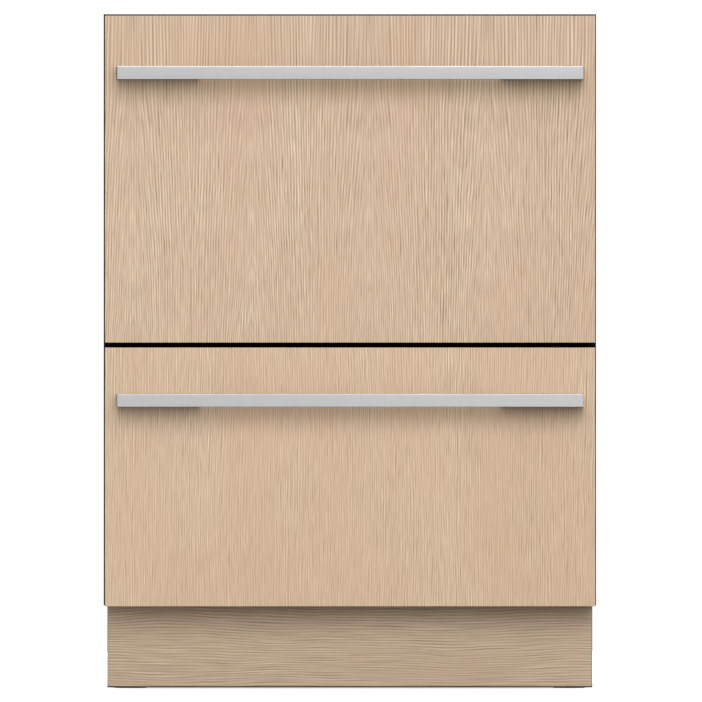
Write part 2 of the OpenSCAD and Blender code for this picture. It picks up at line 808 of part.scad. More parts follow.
// One moulding: walls with round corners, a rim flange, ledges for the basket, a round seat
// for the filter plate and a sump below it
module tub(d) {
  z = floor_z[d];
  wall_h = rim_z[d] - z + tub_wall;
  flange_x = tub_x + rim_flange;
  color("lightgray")
  difference() {
    union() {
      translate([0, tub_mid, z - tub_wall])
        slab(2 * tub_x, tub_l, wall_h, tub_corner_r + tub_wall);
      translate([0, tub_mid + rim_flange / 2, rim_z[d] - tub_wall])
        slab(2 * flange_x, tub_l + rim_flange, tub_wall, tub_corner_r);
      block([-flange_x, y_tub, rim_z[d] - tub_wall],
            [flange_x, tub_in_front + tub_corner_r, rim_z[d]]);
      bar_z([0, tub_mid, z - filter_t - tub_wall], filter_t + tub_wall, step_r + tub_wall);
      bar_z([0, tub_mid, sump_z[d]], sump_d + tub_wall, sump_r + tub_wall);
    }
    difference() {
      translate([0, tub_mid, z]) slab(2 * tub_in_x, tub_in_l, wall_h, tub_corner_r);
      for (side = [-1, 1])
        block([side * tub_x, tub_mid - ledge_l / 2, z + ledge_h - ledge_t],
              [side * (tub_in_x - ledge_w), tub_mid + ledge_l / 2, z + ledge_h]);
    }
    bar_z([0, tub_mid, sump_z[d] + tub_wall], sump_d + tub_wall, sump_r);
    bar_z([0, tub_mid, z - filter_t], filter_t + cut, step_r);
    bar_z([0, tub_mid, sump_z[d] - cut], tub_wall + 2 * cut, shaft_hole_r);
    block([-dispenser_body_w / 2, tub_front - cut, dispenser_z[d] - dispenser_body_h / 2],
          [dispenser_body_w / 2, tub_in_front + cut, dispenser_z[d] + dispenser_body_h / 2]);
  }
}

// Perforated plate over the sump, with the post that the spray arm turns on
filter_r = step_r - fit;
filter_slots = 20;
filter_boss_r = 34;
filter_boss_h = 5;
slot_w = 6;
module filter_plate(d) {
  color("slategray")
  translate([0, tub_mid, floor_z[d] - filter_t])
  difference() {
    union() {
      bar_z([0, 0, 0], filter_t, filter_r);
      bar_z([0, 0, 0], filter_t + filter_boss_h, filter_boss_r);
      bar_z([0, 0, 0], filter_t + arm_post_h, arm_post_r);
    }
    for (i = [0 : filter_slots - 1])
      rotate(i * 360 / filter_slots)
        block([filter_boss_r + 12, -slot_w / 2, -cut], [filter_r - 18, slot_w / 2, filter_t + cut]);
  }
}

// Two-blade spray arm whose hub sits over the post like a hat
arm_lift = filter_boss_h + 1;
arm_hub_r = 22;
arm_tip_r = 13;
arm_roof = 3;
jet_r = 2;
jet_offset = 5;
module spray_arm(d) {
  hub_h = arm_post_h - arm_lift + fit + arm_roof;
  blade_z = hub_h - arm_t - 2;
  blade_l = arm_l - arm_tip_r;
  color("lightsteelblue")
  translate([0, tub_mid, floor_z[d] + arm_lift])
  difference() {
    union() {
      bar_z([0, 0, 0], hub_h, arm_hub_r);
      translate([0, 0, blade_z]) linear_extrude(arm_t)
        for (s = [-1, 1]) {
          polygon([[0, 1 - arm_hub_r], [s * blade_l, -arm_tip_r],
                   [s * blade_l, arm_tip_r], [0, arm_hub_r - 1]]);
          translate([s * blade_l, 0]) circle(arm_tip_r);
        }
    }
    bar_z([0, 0, -cut], hub_h - arm_roof + cut, arm_post_r + pin_play);
    for (s = [-1, 1], i = [1 : 4])
      bar_z([s * arm_l * (i + 1) * 0.18, i % 2 == 0 ? jet_offset : -jet_offset,
             blade_z + arm_t / 2], arm_t, jet_r);
  }
}

// Flat motor under the sump: its rotor reaches up through the sump's floor, and its
// outlet points to the rear
module wash_motor(d) {
  z = sump_z[d];
  boss_h = 3;
  can_h = motor_h - boss_h - 1;
  rotor_r = shaft_hole_r - 2;
  outlet_w = 60;
  outlet_r = 8;
  color("dimgray")
  translate([0, tub_mid, 0]) {
    bar_z([0, 0, z - can_h], can_h, motor_r);
    bar_z([0, 0, z - can_h - boss_h], boss_h, motor_r * 0.55);
    bar_z([0, 0, z], tub_wall + 6, rotor_r);
    block([-outlet_w / 2, motor_r - 14, z - can_h + 2], [outlet_w / 2, motor_r + 22, z - 4]);
    bar_y([14, motor_r + 22, z - can_h / 2], 26, outlet_r);
  }
}

// ---------------------------------------------------------------- racks

basket_x = tub_in_x - basket_margin;
basket_l = tub_in_l - 2 * basket_margin;
basket_h = [lower_basket_h, upper_basket_h];
basket_z = [for (d = both) floor_z[d] + ledge_h + fit];
straight_x = basket_x - bend_r;
straight_y = basket_l / 2 - bend_r;
cross_y = [for (i = [0 : cross_wires - 1]) tub_mid + straight_y * (2 * i / (cross_wires - 1) - 1)];
long_x = [for (i = [0 : long_wires - 1]) straight_x * (2 * i / (long_wires - 1) - 1)];
weld = 2 * wire_r + touch;
cross_rise = wire_r + weld;
rack_top = cross_rise + wire_r;

// Tines stand in rows over every second cross wire. The second row folds down. The upper
// rows end short of the cutlery basket
tine_r = 1.6;
tine_count = [18, 12];
tine_left = 34 - basket_x;
row_y = [for (i = [1 : 2 : cross_wires - 2]) cross_y[i]];
fold_row = 1;
fold_rod_r = 2.2;
fold_z = rack_top + touch + 8;
clip_w = 8;
clip_d = 12;
function tine_x(i) = tine_left + i * tine_pitch;
function clip_x(d) = [
  tine_left - 10,
  tine_x(floor(tine_count[d] / 2)),
  tine_x(tine_count[d] - 1) + 14
];

// Cup rack: where its rod lies in the upper basket
cup_rod_r = 2.5;
cup_x = 14 - basket_x;
cup_z = tine_h + rack_top + 24;
cup_clip_y = [cross_y[1], cross_y[cross_wires - 2]];
cup_clip_w = 10;
cup_clip_h = 14;
shelf_t = 3;

// Wire basket: a floor of crossing wires, upright sides, a rim, fixed tines and rod clips
module basket(d) {
  h = basket_h[d];
  rim_out = wire_r + rim_wire_r + touch;
  y0 = tub_mid - basket_l / 2;
  y1 = tub_mid + basket_l / 2;
  color("silver")
  translate([0, 0, basket_z[d]]) {
    for (x = long_x)
      bar_y([x, y0 + wire_r + touch, wire_r], basket_l - 2 * (wire_r + touch), wire_r);
    for (y = cross_y)
      bar_x([-basket_x + wire_r + touch, y, cross_rise], 2 * (basket_x - wire_r - touch), wire_r);
    for (x = long_x, y = [y0, y1])
      bar_z([x, y, 0], h, wire_r);
    for (x = [-basket_x, basket_x], y = cross_y)
      bar_z([x, y, 0], h, wire_r);
    hoop(rim_out, rim_wire_r, h - rim_wire_r);
    hoop(weld, wire_r, h / 2);
    for (i = [0 : len(row_y) - 1]) if (i != fold_row) {
      bar_x([tine_left - 16, row_y[i], rack_top + touch + wire_r],
            (tine_count[d] - 1) * tine_pitch + 32, wire_r);
      for (k = [0 : tine_count[d] - 1])
        bar_z([tine_x(k), row_y[i], rack_top + 2 * (touch + wire_r)], tine_h, tine_r);
    }
    for (x = clip_x(d)) rod_clip(x);
    if (d == UPPER)
      for (y = cup_clip_y) cup_clip(y);
  }
}

// Wire round the outside of the basket's uprights: four straights and four bends
module hoop(out, r, z) {
  for (s = [-1, 1]) {
    bar_x([touch - straight_x, tub_mid + s * (basket_l / 2 + out), z],
          2 * (straight_x - touch), r);
    bar_y([s * (basket_x + out), tub_mid + touch - straight_y, z],
          2 * (straight_y - touch), r);
  }
  for (i = [0, 1], k = [0, 1])
    translate([0, tub_mid, z]) mirror([i, 0, 0]) mirror([0, k, 0])
      translate([straight_x, straight_y, 0])
        rotate_extrude(angle = 90) translate([bend_r + out, 0]) circle(r);
}

// Clip that holds the folding row's rod on its cross wire
module rod_clip(x) {
  difference() {
    block([x - clip_w / 2, row_y[fold_row] - clip_d / 2, rack_top + touch],
          [x + clip_w / 2, row_y[fold_row] + clip_d / 2, fold_z + fold_rod_r + 4]);
    bar_x([x - clip_w / 2 - cut, row_y[fold_row], fold_z], clip_w + 2 * cut, fold_rod_r + pin_play);
  }
}

// Clip on the basket's side that holds the cup rack's rod, with a toe that the rack rests on
module cup_clip(y) {
  difference() {
    union() {
      block([-basket_x + wire_r + touch, y - cup_clip_w / 2, cup_z - cup_clip_h / 2],
            [cup_x + cup_clip_h / 2, y + cup_clip_w / 2, cup_z + cup_clip_h / 2]);
      block([cup_x, y - cup_clip_w / 2, cup_z - cup_clip_h / 2],
            [cup_x + cup_clip_h, y + cup_clip_w / 2, cup_z - shelf_t / 2 - fit]);
    }
    bar_y([cup_x, y - cup_clip_w / 2 - cut, cup_z], cup_clip_w + 2 * cut, cup_rod_r + pin_play);
  }
}

// Row of tines on a rod that turns in the basket's clips and folds flat to the rear
module folding_tines(d) {
  clips = clip_x(d);
  color("slategray")
  translate([0, row_y[fold_row], basket_z[d] + fold_z]) {
    bar_x([clips[0] - clip_w, 0, 0], clips[2] - clips[0] + 2 * clip_w, fold_rod_r);
    for (i = [0 : tine_count[d] - 2])
      bar_z([tine_x(i + 0.5), 0, 0], tine_h, tine_r);
  }
}

// Cup rack: a slotted shelf on a rod along the basket's left side, which folds up
module cup_rack(d) {
  slots = 14;
  end_bar = 14;
  rod_bar = 18;
  rim_bar = 8;
  slot_share = 0.62;
  slot_pitch = (cup_rack_l - 2 * end_bar) / (slots - 1 + slot_share);
  start = tub_mid - cup_rack_l / 2;
  color("slategray")
  translate([cup_x, 0, basket_z[d] + cup_z]) {
    bar_y([0, start, 0], cup_rack_l, cup_rod_r);
    difference() {
      block([0, start, -shelf_t / 2], [cup_rack_w, start + cup_rack_l, shelf_t / 2]);
      for (i = [0 : slots - 1])
        block([rod_bar, start + end_bar + i * slot_pitch, -shelf_t],
              [cup_rack_w - rim_bar, start + end_bar + (i + slot_share) * slot_pitch, shelf_t]);
      for (y = cup_clip_y)
        block([-cut, y - cup_clip_w / 2 - 1, -shelf_t],
              [cup_clip_h * 0.75, y + cup_clip_w / 2 + 1, shelf_t]);
    }
  }
}

// Cutlery basket: two rows of cells in slotted walls, with a bail moulded over the middle
cutlery_x = basket_x - 16 - cutlery_w / 2;
cell_count = 4;
bail_rise = 28;
bail_t = 8;
module cutlery_basket(d) {
  cell_w = (cutlery_w - 3 * cutlery_wall) / 2;
  cell_l = (cutlery_l - (cell_count + 1) * cutlery_wall) / cell_count;
  slit_rows = 4;
  slit_pitch = (cutlery_h - 20) / slit_rows;
  color("slategray")
  translate([cutlery_x, tub_mid, basket_z[d] + rack_top + fit]) {
    difference() {
      block([-cutlery_w / 2, -cutlery_l / 2, 0], [cutlery_w / 2, cutlery_l / 2, cutlery_h]);
      for (i = [0 : cell_count - 1])
        translate([0, cutlery_wall - cutlery_l / 2 + i * (cell_l + cutlery_wall), 0]) {
          for (s = [-1, 1])
            block([s * cutlery_wall / 2, 0, cutlery_wall],
                  [s * (cutlery_wall / 2 + cell_w), cell_l, cutlery_h + cut]);
          for (k = [0 : slit_rows - 1])
            block([-cutlery_w / 2 - cut, 6, 12 + k * slit_pitch],
                  [cutlery_w / 2 + cut, cell_l - 6, 20 + k * slit_pitch]);
        }
    }
    for (s = [-1, 1])
      block([-bail_t / 4, s * cutlery_l / 2, cutlery_h - 10],
            [bail_t / 4, s * (cutlery_l / 2 - 12), cutlery_h + bail_rise - bail_t / 2]);
    block([-bail_t / 2, -cutlery_l / 2, cutlery_h + bail_rise - bail_t],
          [bail_t / 2, cutlery_l / 2, cutlery_h + bail_rise]);
  }
}

// ---------------------------------------------------------------- dispensers

face_y = tub_in_front + dispenser_face_t;
door_w = cup_w + 8;
door_h = cup_h + 6;
door_t = 2.5;
door_slide = cup_w + 2;
door_ridge = 4;
track_w = 4;
track_roof = 1.6;
track_lap = 2;
cap_x = -66;
cap_t = 3;
cap_plug_r = cap_r - 5;
cap_plug_l = 9;
cap_bar = 5;
body_deep = tub_deck - 2 + tub_wall + dispenser_face_t;

// Dispenser in the tub's front wall: detergent cup, door tracks and the rinse-aid filler
module dispenser(d) {
  z = dispenser_z[d];
  track_x = [-door_w / 2 - 2, dispenser_w / 2 - 4];
  roof_y = face_y + fit + door_t + fit;
  color("gray")
  difference() {
    union() {
      block([-dispenser_w / 2, tub_in_front, z - dispenser_h / 2],
            [dispenser_w / 2, face_y, z + dispenser_h / 2]);
      block([-dispenser_body_w / 2 + fit, face_y - body_deep, z - dispenser_body_h / 2 + fit],
            [dispenser_body_w / 2 - fit, face_y, z + dispenser_body_h / 2 - fit]);
      for (s = [-1, 1]) {
        block([track_x[0], face_y - cut, z + s * (door_h / 2 + fit)],
              [track_x[1], roof_y + track_roof, z + s * (door_h / 2 + fit + track_w)]);
        block([track_x[0], roof_y, z + s * (door_h / 2 - track_lap)],
              [track_x[1], roof_y + track_roof, z + s * (door_h / 2 + fit + 1)]);
      }
    }
    block([-cup_w / 2, face_y - body_deep + 2, z - cup_h / 2],
          [cup_w / 2, face_y + cut, z + cup_h / 2]);
    bar_y([cap_x, face_y - cap_plug_l - 1, z], cap_plug_l + 1 + cut, cap_plug_r + pin_play);
  }
}

// Cover that slides sideways over the detergent cup, with a ridge to push
module dispenser_door(d) {
  z = dispenser_z[d];
  y = face_y + fit;
  color("whitesmoke") {
    block([-door_w / 2, y, z - door_h / 2], [door_w / 2, y + door_t, z + door_h / 2]);
    block([door_w / 2 - 12, y + door_t / 2, z - door_h / 2 + 8],
          [door_w / 2 - 6, y + door_t + door_ridge, z + door_h / 2 - 8]);
  }
}

// Bayonet cap with a finger bar
module rinse_cap(d) {
  z = dispenser_z[d];
  y = face_y + fit;
  color("slategray") {
    bar_y([cap_x, y, z], cap_t, cap_r);
    bar_y([cap_x, y - cap_plug_l, z], cap_plug_l + cap_t / 2, cap_plug_r);
    block([cap_x - cap_r * 0.75, y + cap_t / 2, z - cap_bar / 2],
          [cap_x + cap_r * 0.75, y + cap_t + cap_bar, z + cap_bar / 2]);
  }
}

// ---------------------------------------------------------------- assembly

side_panel(-1);  // side_panel_left
side_panel(1);  // side_panel_right
top_panel();
back_panel();
base_tray();
centre_shelf();
front_trim();
cabinet_screws();
toe_kick();
inlet_valve();
drain_connector();
mains_box();
outer_rails();
lid_lifters();
foot(-foot_x, foot_y[0]);  // foot_front_left
foot(foot_x, foot_y[0]);  // foot_front_right
foot(-foot_x, foot_y[1]);  // foot_rear_left
foot(foot_x, foot_y[1]);  // foot_rear_right
middle_rails(UPPER);  // upper_middle_rails
middle_rails(LOWER);  // lower_middle_rails
lid(UPPER);  // upper_lid
lid_seal(UPPER);  // upper_lid_seal
lid(LOWER);  // lower_lid
lid_seal(LOWER);  // lower_lid_seal
front_panel(UPPER);  // upper_front_panel
handle(UPPER);  // upper_handle
front_casing(UPPER);  // upper_front_casing
control_strip(UPPER);  // upper_control_strip
button(UPPER, button_x[0]);  // upper_power_button
button(UPPER, button_x[1]);  // upper_programme_button
button(UPPER, button_x[2]);  // upper_start_button
tub(UPPER);  // upper_tub
inner_rails(UPPER);  // upper_inner_rails
filter_plate(UPPER);  // upper_filter_plate
spray_arm(UPPER);  // upper_spray_arm
wash_motor(UPPER);  // upper_wash_motor
basket(UPPER);  // upper_basket
folding_tines(UPPER);  // upper_folding_tines
cup_rack(UPPER);  // upper_cup_rack
cutlery_basket(UPPER);  // upper_cutlery_basket
dispenser(UPPER);  // upper_dispenser
dispenser_door(UPPER);  // upper_dispenser_door
rinse_cap(UPPER);  // upper_rinse_cap
front_panel(LOWER);  // lower_front_panel
handle(LOWER);  // lower_handle
front_casing(LOWER);  // lower_front_casing
control_strip(LOWER);  // lower_control_strip
button(LOWER, button_x[0]);  // lower_power_button
button(LOWER, button_x[1]);  // lower_programme_button
button(LOWER, button_x[2]);  // lower_start_button
tub(LOWER);  // lower_tub
inner_rails(LOWER);  // lower_inner_rails
filter_plate(LOWER);  // lower_filter_plate
spray_arm(LOWER);  // lower_spray_arm
wash_motor(LOWER);  // lower_wash_motor
basket(LOWER);  // lower_basket
folding_tines(LOWER);  // lower_folding_tines
dispenser(LOWER);  // lower_dispenser
dispenser_door(LOWER);  // lower_dispenser_door
rinse_cap(LOWER);  // lower_rinse_cap
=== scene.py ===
"""A built-in dishwasher with two wash drawers behind oak fronts, dressed piece by piece over
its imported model. Metres, +Z up, the fronts face -Y."""
import json
import math

import bmesh
import bpy
from mathutils import Matrix, Vector

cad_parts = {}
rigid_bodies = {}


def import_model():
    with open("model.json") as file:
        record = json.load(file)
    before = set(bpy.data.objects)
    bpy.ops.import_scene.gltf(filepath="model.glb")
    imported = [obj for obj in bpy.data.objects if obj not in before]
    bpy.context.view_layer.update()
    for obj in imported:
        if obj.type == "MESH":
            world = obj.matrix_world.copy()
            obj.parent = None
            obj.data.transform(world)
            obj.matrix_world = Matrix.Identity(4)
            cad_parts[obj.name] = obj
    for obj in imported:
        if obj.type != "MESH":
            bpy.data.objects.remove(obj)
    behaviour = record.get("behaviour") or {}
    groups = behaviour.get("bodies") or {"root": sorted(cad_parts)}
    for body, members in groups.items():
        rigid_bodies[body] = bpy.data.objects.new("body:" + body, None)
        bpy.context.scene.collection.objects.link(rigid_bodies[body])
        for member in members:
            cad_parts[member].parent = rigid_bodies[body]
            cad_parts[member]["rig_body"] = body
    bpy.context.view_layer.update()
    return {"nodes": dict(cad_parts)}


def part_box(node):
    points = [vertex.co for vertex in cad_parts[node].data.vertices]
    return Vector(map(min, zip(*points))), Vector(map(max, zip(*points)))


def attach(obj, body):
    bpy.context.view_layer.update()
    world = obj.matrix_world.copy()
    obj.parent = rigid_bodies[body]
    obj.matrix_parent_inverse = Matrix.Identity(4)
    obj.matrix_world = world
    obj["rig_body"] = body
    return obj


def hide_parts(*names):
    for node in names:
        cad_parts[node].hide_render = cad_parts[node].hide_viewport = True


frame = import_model()


# ---- Studio ----------------------------------
# A pale floor, a broad soft light high in front, a low one that opens the shadows under the
# handles and isn't mirrored in the steel, one overhead, one behind, and a plain bright
# surround.
WHITE_AIR, FILL_ABOVE, FILL_BELOW, HORIZON = 1.05, 0.45, 0.35, 0.3
FLOOR_REACH, FLOOR_GLOW = 4.0, 0.45

floor_mesh = bpy.data.meshes.new("floor")
floor_mesh.from_pydata([(x * FLOOR_REACH, y * FLOOR_REACH, 0)
                        for x, y in ((-1, -1), (1, -1), (1, 1), (-1, 1))], [], [(0, 1, 2, 3)])
floor = bpy.data.objects.new("floor", floor_mesh)
bpy.context.scene.collection.objects.link(floor)
floor_paint = bpy.data.materials.new("pale_floor")
floor_paint.use_nodes = True
floor_shader = floor_paint.node_tree.nodes["Principled BSDF"]
for socket, value in (("Base Color", (0.9, 0.9, 0.9, 1)), ("Roughness", 0.9),
                      ("Emission Color", (1, 1, 1, 1)), ("Emission Strength", FLOOR_GLOW)):
    floor_shader.inputs[socket].default_value = value
floor_mesh.materials.append(floor_paint)
floor.visible_diffuse = False


def softbox(name, place, aim, width, height, power):
    """A soft rectangular light, which the camera doesn't see."""
    lamp = bpy.data.lights.new(name, "AREA")
    lamp.shape = "RECTANGLE"
    lamp.size, lamp.size_y = width, height
    lamp.energy = power
    holder = bpy.data.objects.new(name, lamp)
    holder.location = place
    holder.rotation_euler = (Vector(aim) - Vector(place)).to_track_quat("-Z", "Z").to_euler()
    bpy.context.scene.collection.objects.link(holder)
    holder.visible_camera = False
    return holder


softbox("front_softbox", (0.4, -10.0, 5.9), (0.4, 0, 5.9), width=6.0, height=6.8, power=620)
low_light = softbox("low_softbox", (0.4, -10.0, 1.6), (0.4, 0, 1.6), width=6.0, height=1.8, power=165)
low_light.visible_glossy = False
softbox("overhead_softbox", (0, 0.55, 3.6), (0, 0.55, 0.4), width=3.4, height=1.6, power=75)
softbox("rear_softbox", (0, 5.0, 2.5), (0, 0, 2.5), width=5.0, height=3.6, power=150)

air = bpy.data.worlds.new("studio_air")
air.use_nodes = True
bpy.context.scene.world = air
air_nodes, air_links = air.node_tree.nodes, air.node_tree.links
seen = air_nodes.new("ShaderNodeLightPath")
way = air_nodes.new("ShaderNodeTexCoord")
upright = air_nodes.new("ShaderNodeSeparateXYZ")
dome = air_nodes.new("ShaderNodeMapRange")
strength = air_nodes.new("ShaderNodeMapRange")
for socket, value in (("From Min", -HORIZON), ("From Max", HORIZON),
                      ("To Min", FILL_BELOW), ("To Max", FILL_ABOVE)):
    dome.inputs[socket].default_value = value
strength.inputs["To Max"].default_value = WHITE_AIR
air_links.new(way.outputs["Generated"], upright.inputs[0])
air_links.new(upright.outputs["Z"], dome.inputs["Value"])
air_links.new(dome.outputs["Result"], strength.inputs["To Min"])
air_links.new(seen.outputs["Is Camera Ray"], strength.inputs["Value"])
air_nodes["Background"].inputs["Color"].default_value = (1, 1, 1, 1)
air_links.new(strength.outputs["Result"], air_nodes["Background"].inputs["Strength"])

bpy.context.scene.view_settings.view_transform = "Standard"

# The camera stands far off at half the machine's height, and a hair to the left.
REACH, VIEW_WIDTH, SENSOR = 34.0, 0.8532, 36.0
AIM, TURN = Vector((0.0012, -0.25, 0.4103)), math.radians(-0.3)
lens = bpy.data.cameras.new("camera")
lens.sensor_width = SENSOR
lens.lens = SENSOR * REACH / VIEW_WIDTH
lens.clip_end = 200
camera = bpy.data.objects.new("camera", lens)
camera.location = AIM + REACH * Vector((math.sin(TURN), -math.cos(TURN), 0))
camera.rotation_euler = (AIM - camera.location).to_track_quat("-Z", "Y").to_euler()
bpy.context.scene.collection.objects.link(camera)
bpy.context.scene.camera = camera


# ---- Cabinet sheets --------------------------
# Zinc-coated steel sheet, cut and folded on a press brake. The edges are eased, and the zinc
# shows as pale crystals over the whole sheet.
def arithmetic(operation, swapped=False):
    """An operator of Reading, which adds one of the shader's own Math nodes."""
    def act(self, other):
        return self.finish.math(operation, *((other, self) if swapped else (self, other)))
    return act


class Reading:
    """A value or colour inside a finish. Readings add, multiply and so on as numbers do."""

    def __init__(self, finish, socket):
        self.finish, self.socket = finish, socket

    __add__ = __radd__ = arithmetic("ADD")
    __mul__ = __rmul__ = arithmetic("MULTIPLY")
    __sub__, __rsub__ = arithmetic("SUBTRACT"), arithmetic("SUBTRACT", swapped=True)
    __truediv__, __rtruediv__ = arithmetic("DIVIDE"), arithmetic("DIVIDE", swapped=True)
    __pow__ = arithmetic("POWER")


class Finish:
    """One material: a Principled shader whose fixed values are set on its own sockets."""

    def __init__(self, name, **fixed):
        self.material = bpy.data.materials.new(name)
        self.material.use_nodes = True
        self.tree = self.material.node_tree
        self.shader = self.tree.nodes["Principled BSDF"]
        for key, value in fixed.items():
            self.shader.inputs[key.replace("_", " ")].default_value = value

    def node(self, kind, settings=None, sockets=None, out=0):
        """Adds a node with these settings and inputs, and gives one of its outputs."""
        made = self.tree.nodes.new(kind)
        for key, value in (settings or {}).items():
            setattr(made, key, value)
        for key, value in (sockets or {}).items():
            self.feed(made.inputs[key], value)
        return Reading(self, made.outputs[out])

    def feed(self, socket, value):
        if isinstance(value, Reading):
            self.tree.links.new(value.socket, socket)
        else:
            socket.default_value = value

    def show(self, **varying):
        for key, value in varying.items():
            self.feed(self.shader.inputs[key.replace("_", " ")], value)
        return self.material

    def math(self, operation, *values):
        return self.node("ShaderNodeMath", {"operation": operation}, dict(enumerate(values)))

    def place(self, scale=(1, 1, 1)):
        """The object's own coordinates, times a scale along each axis."""
        return self.node("ShaderNodeMapping", None, {
            "Vector": self.node("ShaderNodeTexCoord", out="Object"), "Scale": scale})

    def axes(self):
        """The object's own X, Y and Z as three readings."""
        split = self.node("ShaderNodeSeparateXYZ", None, {"Vector": self.place()})
        return [Reading(self, axis) for axis in split.socket.node.outputs]

    def noise(self, where, scale, detail=2.0, roughness=0.5):
        return self.node("ShaderNodeTexNoise", None, {
            "Vector": where, "Scale": scale, "Detail": detail, "Roughness": roughness})

    def blend(self, amount, low, high):
        """A colour between two. A Mix node's colours are its inputs 6 and 7 and its output 2."""
        made = self.tree.nodes.new("ShaderNodeMix")
        made.data_type = "RGBA"
        self.feed(made.inputs["Factor"], amount)
        for socket, value in ((made.inputs[6], low), (made.inputs[7], high)):
            self.feed(socket, value if isinstance(value, Reading) else (*value, 1))
        return Reading(self, made.outputs[2])

    def span(self, value, low, high, to_low=0.0, to_high=1.0):
        """A value's way from low to high, held at both ends and drawn out over the second range."""
        return self.node("ShaderNodeMapRange", None, {
            "Value": value, "From Min": low, "From Max": high, "To Min": to_low, "To Max": to_high})

    def relief(self, height, depth, strength=1.0):
        return self.node("ShaderNodeBump", None, {
            "Height": height, "Distance": depth, "Strength": strength})


def zinc_sheet():
    """Crystals of differing grey, with a haze and faint scuffs over them."""
    f = Finish("galvanised_sheet", Metallic=1.0)
    crystals = f.node("ShaderNodeTexVoronoi", {"feature": "F1"}, {
        "Vector": f.place(), "Scale": 130.0, "Randomness": 1.0}, out="Color")
    grey = f.node("ShaderNodeSeparateColor", None, {"Color": crystals})
    haze = f.noise(f.place(), 7.0, 3.0)
    tone = grey * 0.30 + haze * 0.70
    scuff = f.noise(f.place((1, 30, 1)), 12.0, 4.0)
    return f.show(
        Base_Color=f.blend(tone, (0.235, 0.245, 0.25), (0.36, 0.37, 0.375)),
        Roughness=f.span(tone + 0.3 * scuff, 0.2, 1.2, 0.55, 0.38),
        Normal=f.relief(grey + haze, 0.00012, 0.35))


def link(name, mesh, *finishes):
    """Puts a mesh in the scene as one object with these materials."""
    made = bpy.data.objects.new(name, mesh)
    mesh.materials.clear()
    for finish in finishes:
        mesh.materials.append(finish)
    bpy.context.scene.collection.objects.link(made)
    return made


def settled(thing):
    """The object's evaluated shape as a plain mesh, with its modifiers taken off."""
    done = thing.evaluated_get(bpy.context.evaluated_depsgraph_get())
    shape = bpy.data.meshes.new_from_object(done)
    shape.name = thing.name
    thing.modifiers.clear()
    thing.data = shape
    return thing


def smooth(mesh, degrees=32):
    mesh.polygons.foreach_set("use_smooth", [True] * len(mesh.polygons))
    mesh.set_sharp_from_angle(angle=math.radians(degrees))


SAME_POINT, NEARLY_FLAT, CORNER = 2e-6, math.radians(0.6), math.radians(28)


def eased(node, width, finish, segments=2, reshape=None):
    """A node's own shape with its corners eased as the real piece's are, in that node's place."""
    work = bmesh.new()
    work.from_mesh(frame["nodes"][node].data)
    bmesh.ops.remove_doubles(work, verts=work.verts, dist=SAME_POINT)
    bmesh.ops.dissolve_limit(work, angle_limit=NEARLY_FLAT, verts=work.verts, edges=work.edges)
    if reshape:
        reshape(work)
    corners = [e for e in work.edges if len(e.link_faces) == 2 and e.calc_face_angle(0) > CORNER]
    bmesh.ops.bevel(work, geom=corners, offset=width, segments=segments, profile=0.5,
                    affect="EDGES", clamp_overlap=True)
    shape = bpy.data.meshes.new(node + "_eased")
    work.to_mesh(shape)
    work.free()
    smooth(shape, 50)
    made = link(node + "_eased", shape, finish)
    level = made.modifiers.new("level", "WEIGHTED_NORMAL")
    level.keep_sharp = True
    settled(made)
    return stands_for(made, node)


def stands_for(made, node):
    """The piece takes the node's place and rides on its body."""
    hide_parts(node)
    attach(made, frame["nodes"][node]["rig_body"])
    return made


GALVANISED = zinc_sheet()
for sheet in ("side_panel_left", "side_panel_right", "top_panel", "back_panel", "base_tray",
              "centre_shelf"):
    eased(sheet, 0.0004, GALVANISED)


# ---- Edge trim -------------------------------
# Extruded black plastic strips that clip over the steel's front edges, so that no cut edge
# shows round the fronts.
def moulded(name, deep, pale, rough=0.45, grain=900.0, depth=0.00004, **fixed):
    """Moulded plastic: a fine spark-eroded grain, faint flow marks and a little handling sheen."""
    f = Finish(name, **fixed)
    flow = f.noise(f.place((1, 1, 2.5)), 9.0, 3.0)
    skin = f.noise(f.place(), grain, 2.0)
    return f.show(
        Base_Color=f.blend(f.span(flow, 0.3, 0.7), deep, pale),
        Roughness=f.span(flow * 0.6 + skin * 0.4, 0.3, 0.7, rough - 0.06, rough + 0.08),
        Normal=f.relief(skin, depth, 0.5))


TRIM = moulded("trim_plastic", (0.003, 0.003, 0.003), (0.006, 0.005, 0.005), 0.75,
               Specular_IOR_Level=0.15)
eased("front_trim", 0.0002, TRIM)


# ---- Screw feet ------------------------------
# Black moulded pads with a hexagon for a spanner, on plated threaded stems that screw into
# the tray's sockets.
def ring_of(work, radius, height, turns, centre=(0, 0, 0)):
    """Adds a level ring of corners round a centre."""
    return [work.verts.new((
        centre[0] + radius * math.cos(2 * math.pi * i / turns),
        centre[1] + radius * math.sin(2 * math.pi * i / turns),
        centre[2] + height)) for i in range(turns)]


def join_rings(work, rings):
    """Joins each ring to the next with four-sided faces."""
    for near, far in zip(rings, rings[1:]):
        for i in range(len(near)):
            k = (i + 1) % len(near)
            work.faces.new((near[i], near[k], far[k], far[i]))


def lathe(work, profile, turns=32, centre=(0, 0, 0)):
    """Adds a solid of revolution from (radius, height) points that start and end on the axis."""
    rings = [ring_of(work, radius, height, turns if radius else 1, centre)
             for radius, height in profile]
    for low, high in zip(rings, rings[1:]):
        for i in range(turns):
            k = (i + 1) % turns
            corners = (low[i % len(low)], low[k % len(low)], high[k % len(high)], high[i % len(high)])
            face = list(dict.fromkeys(corners))
            if len(face) > 2:
                work.faces.new(face)


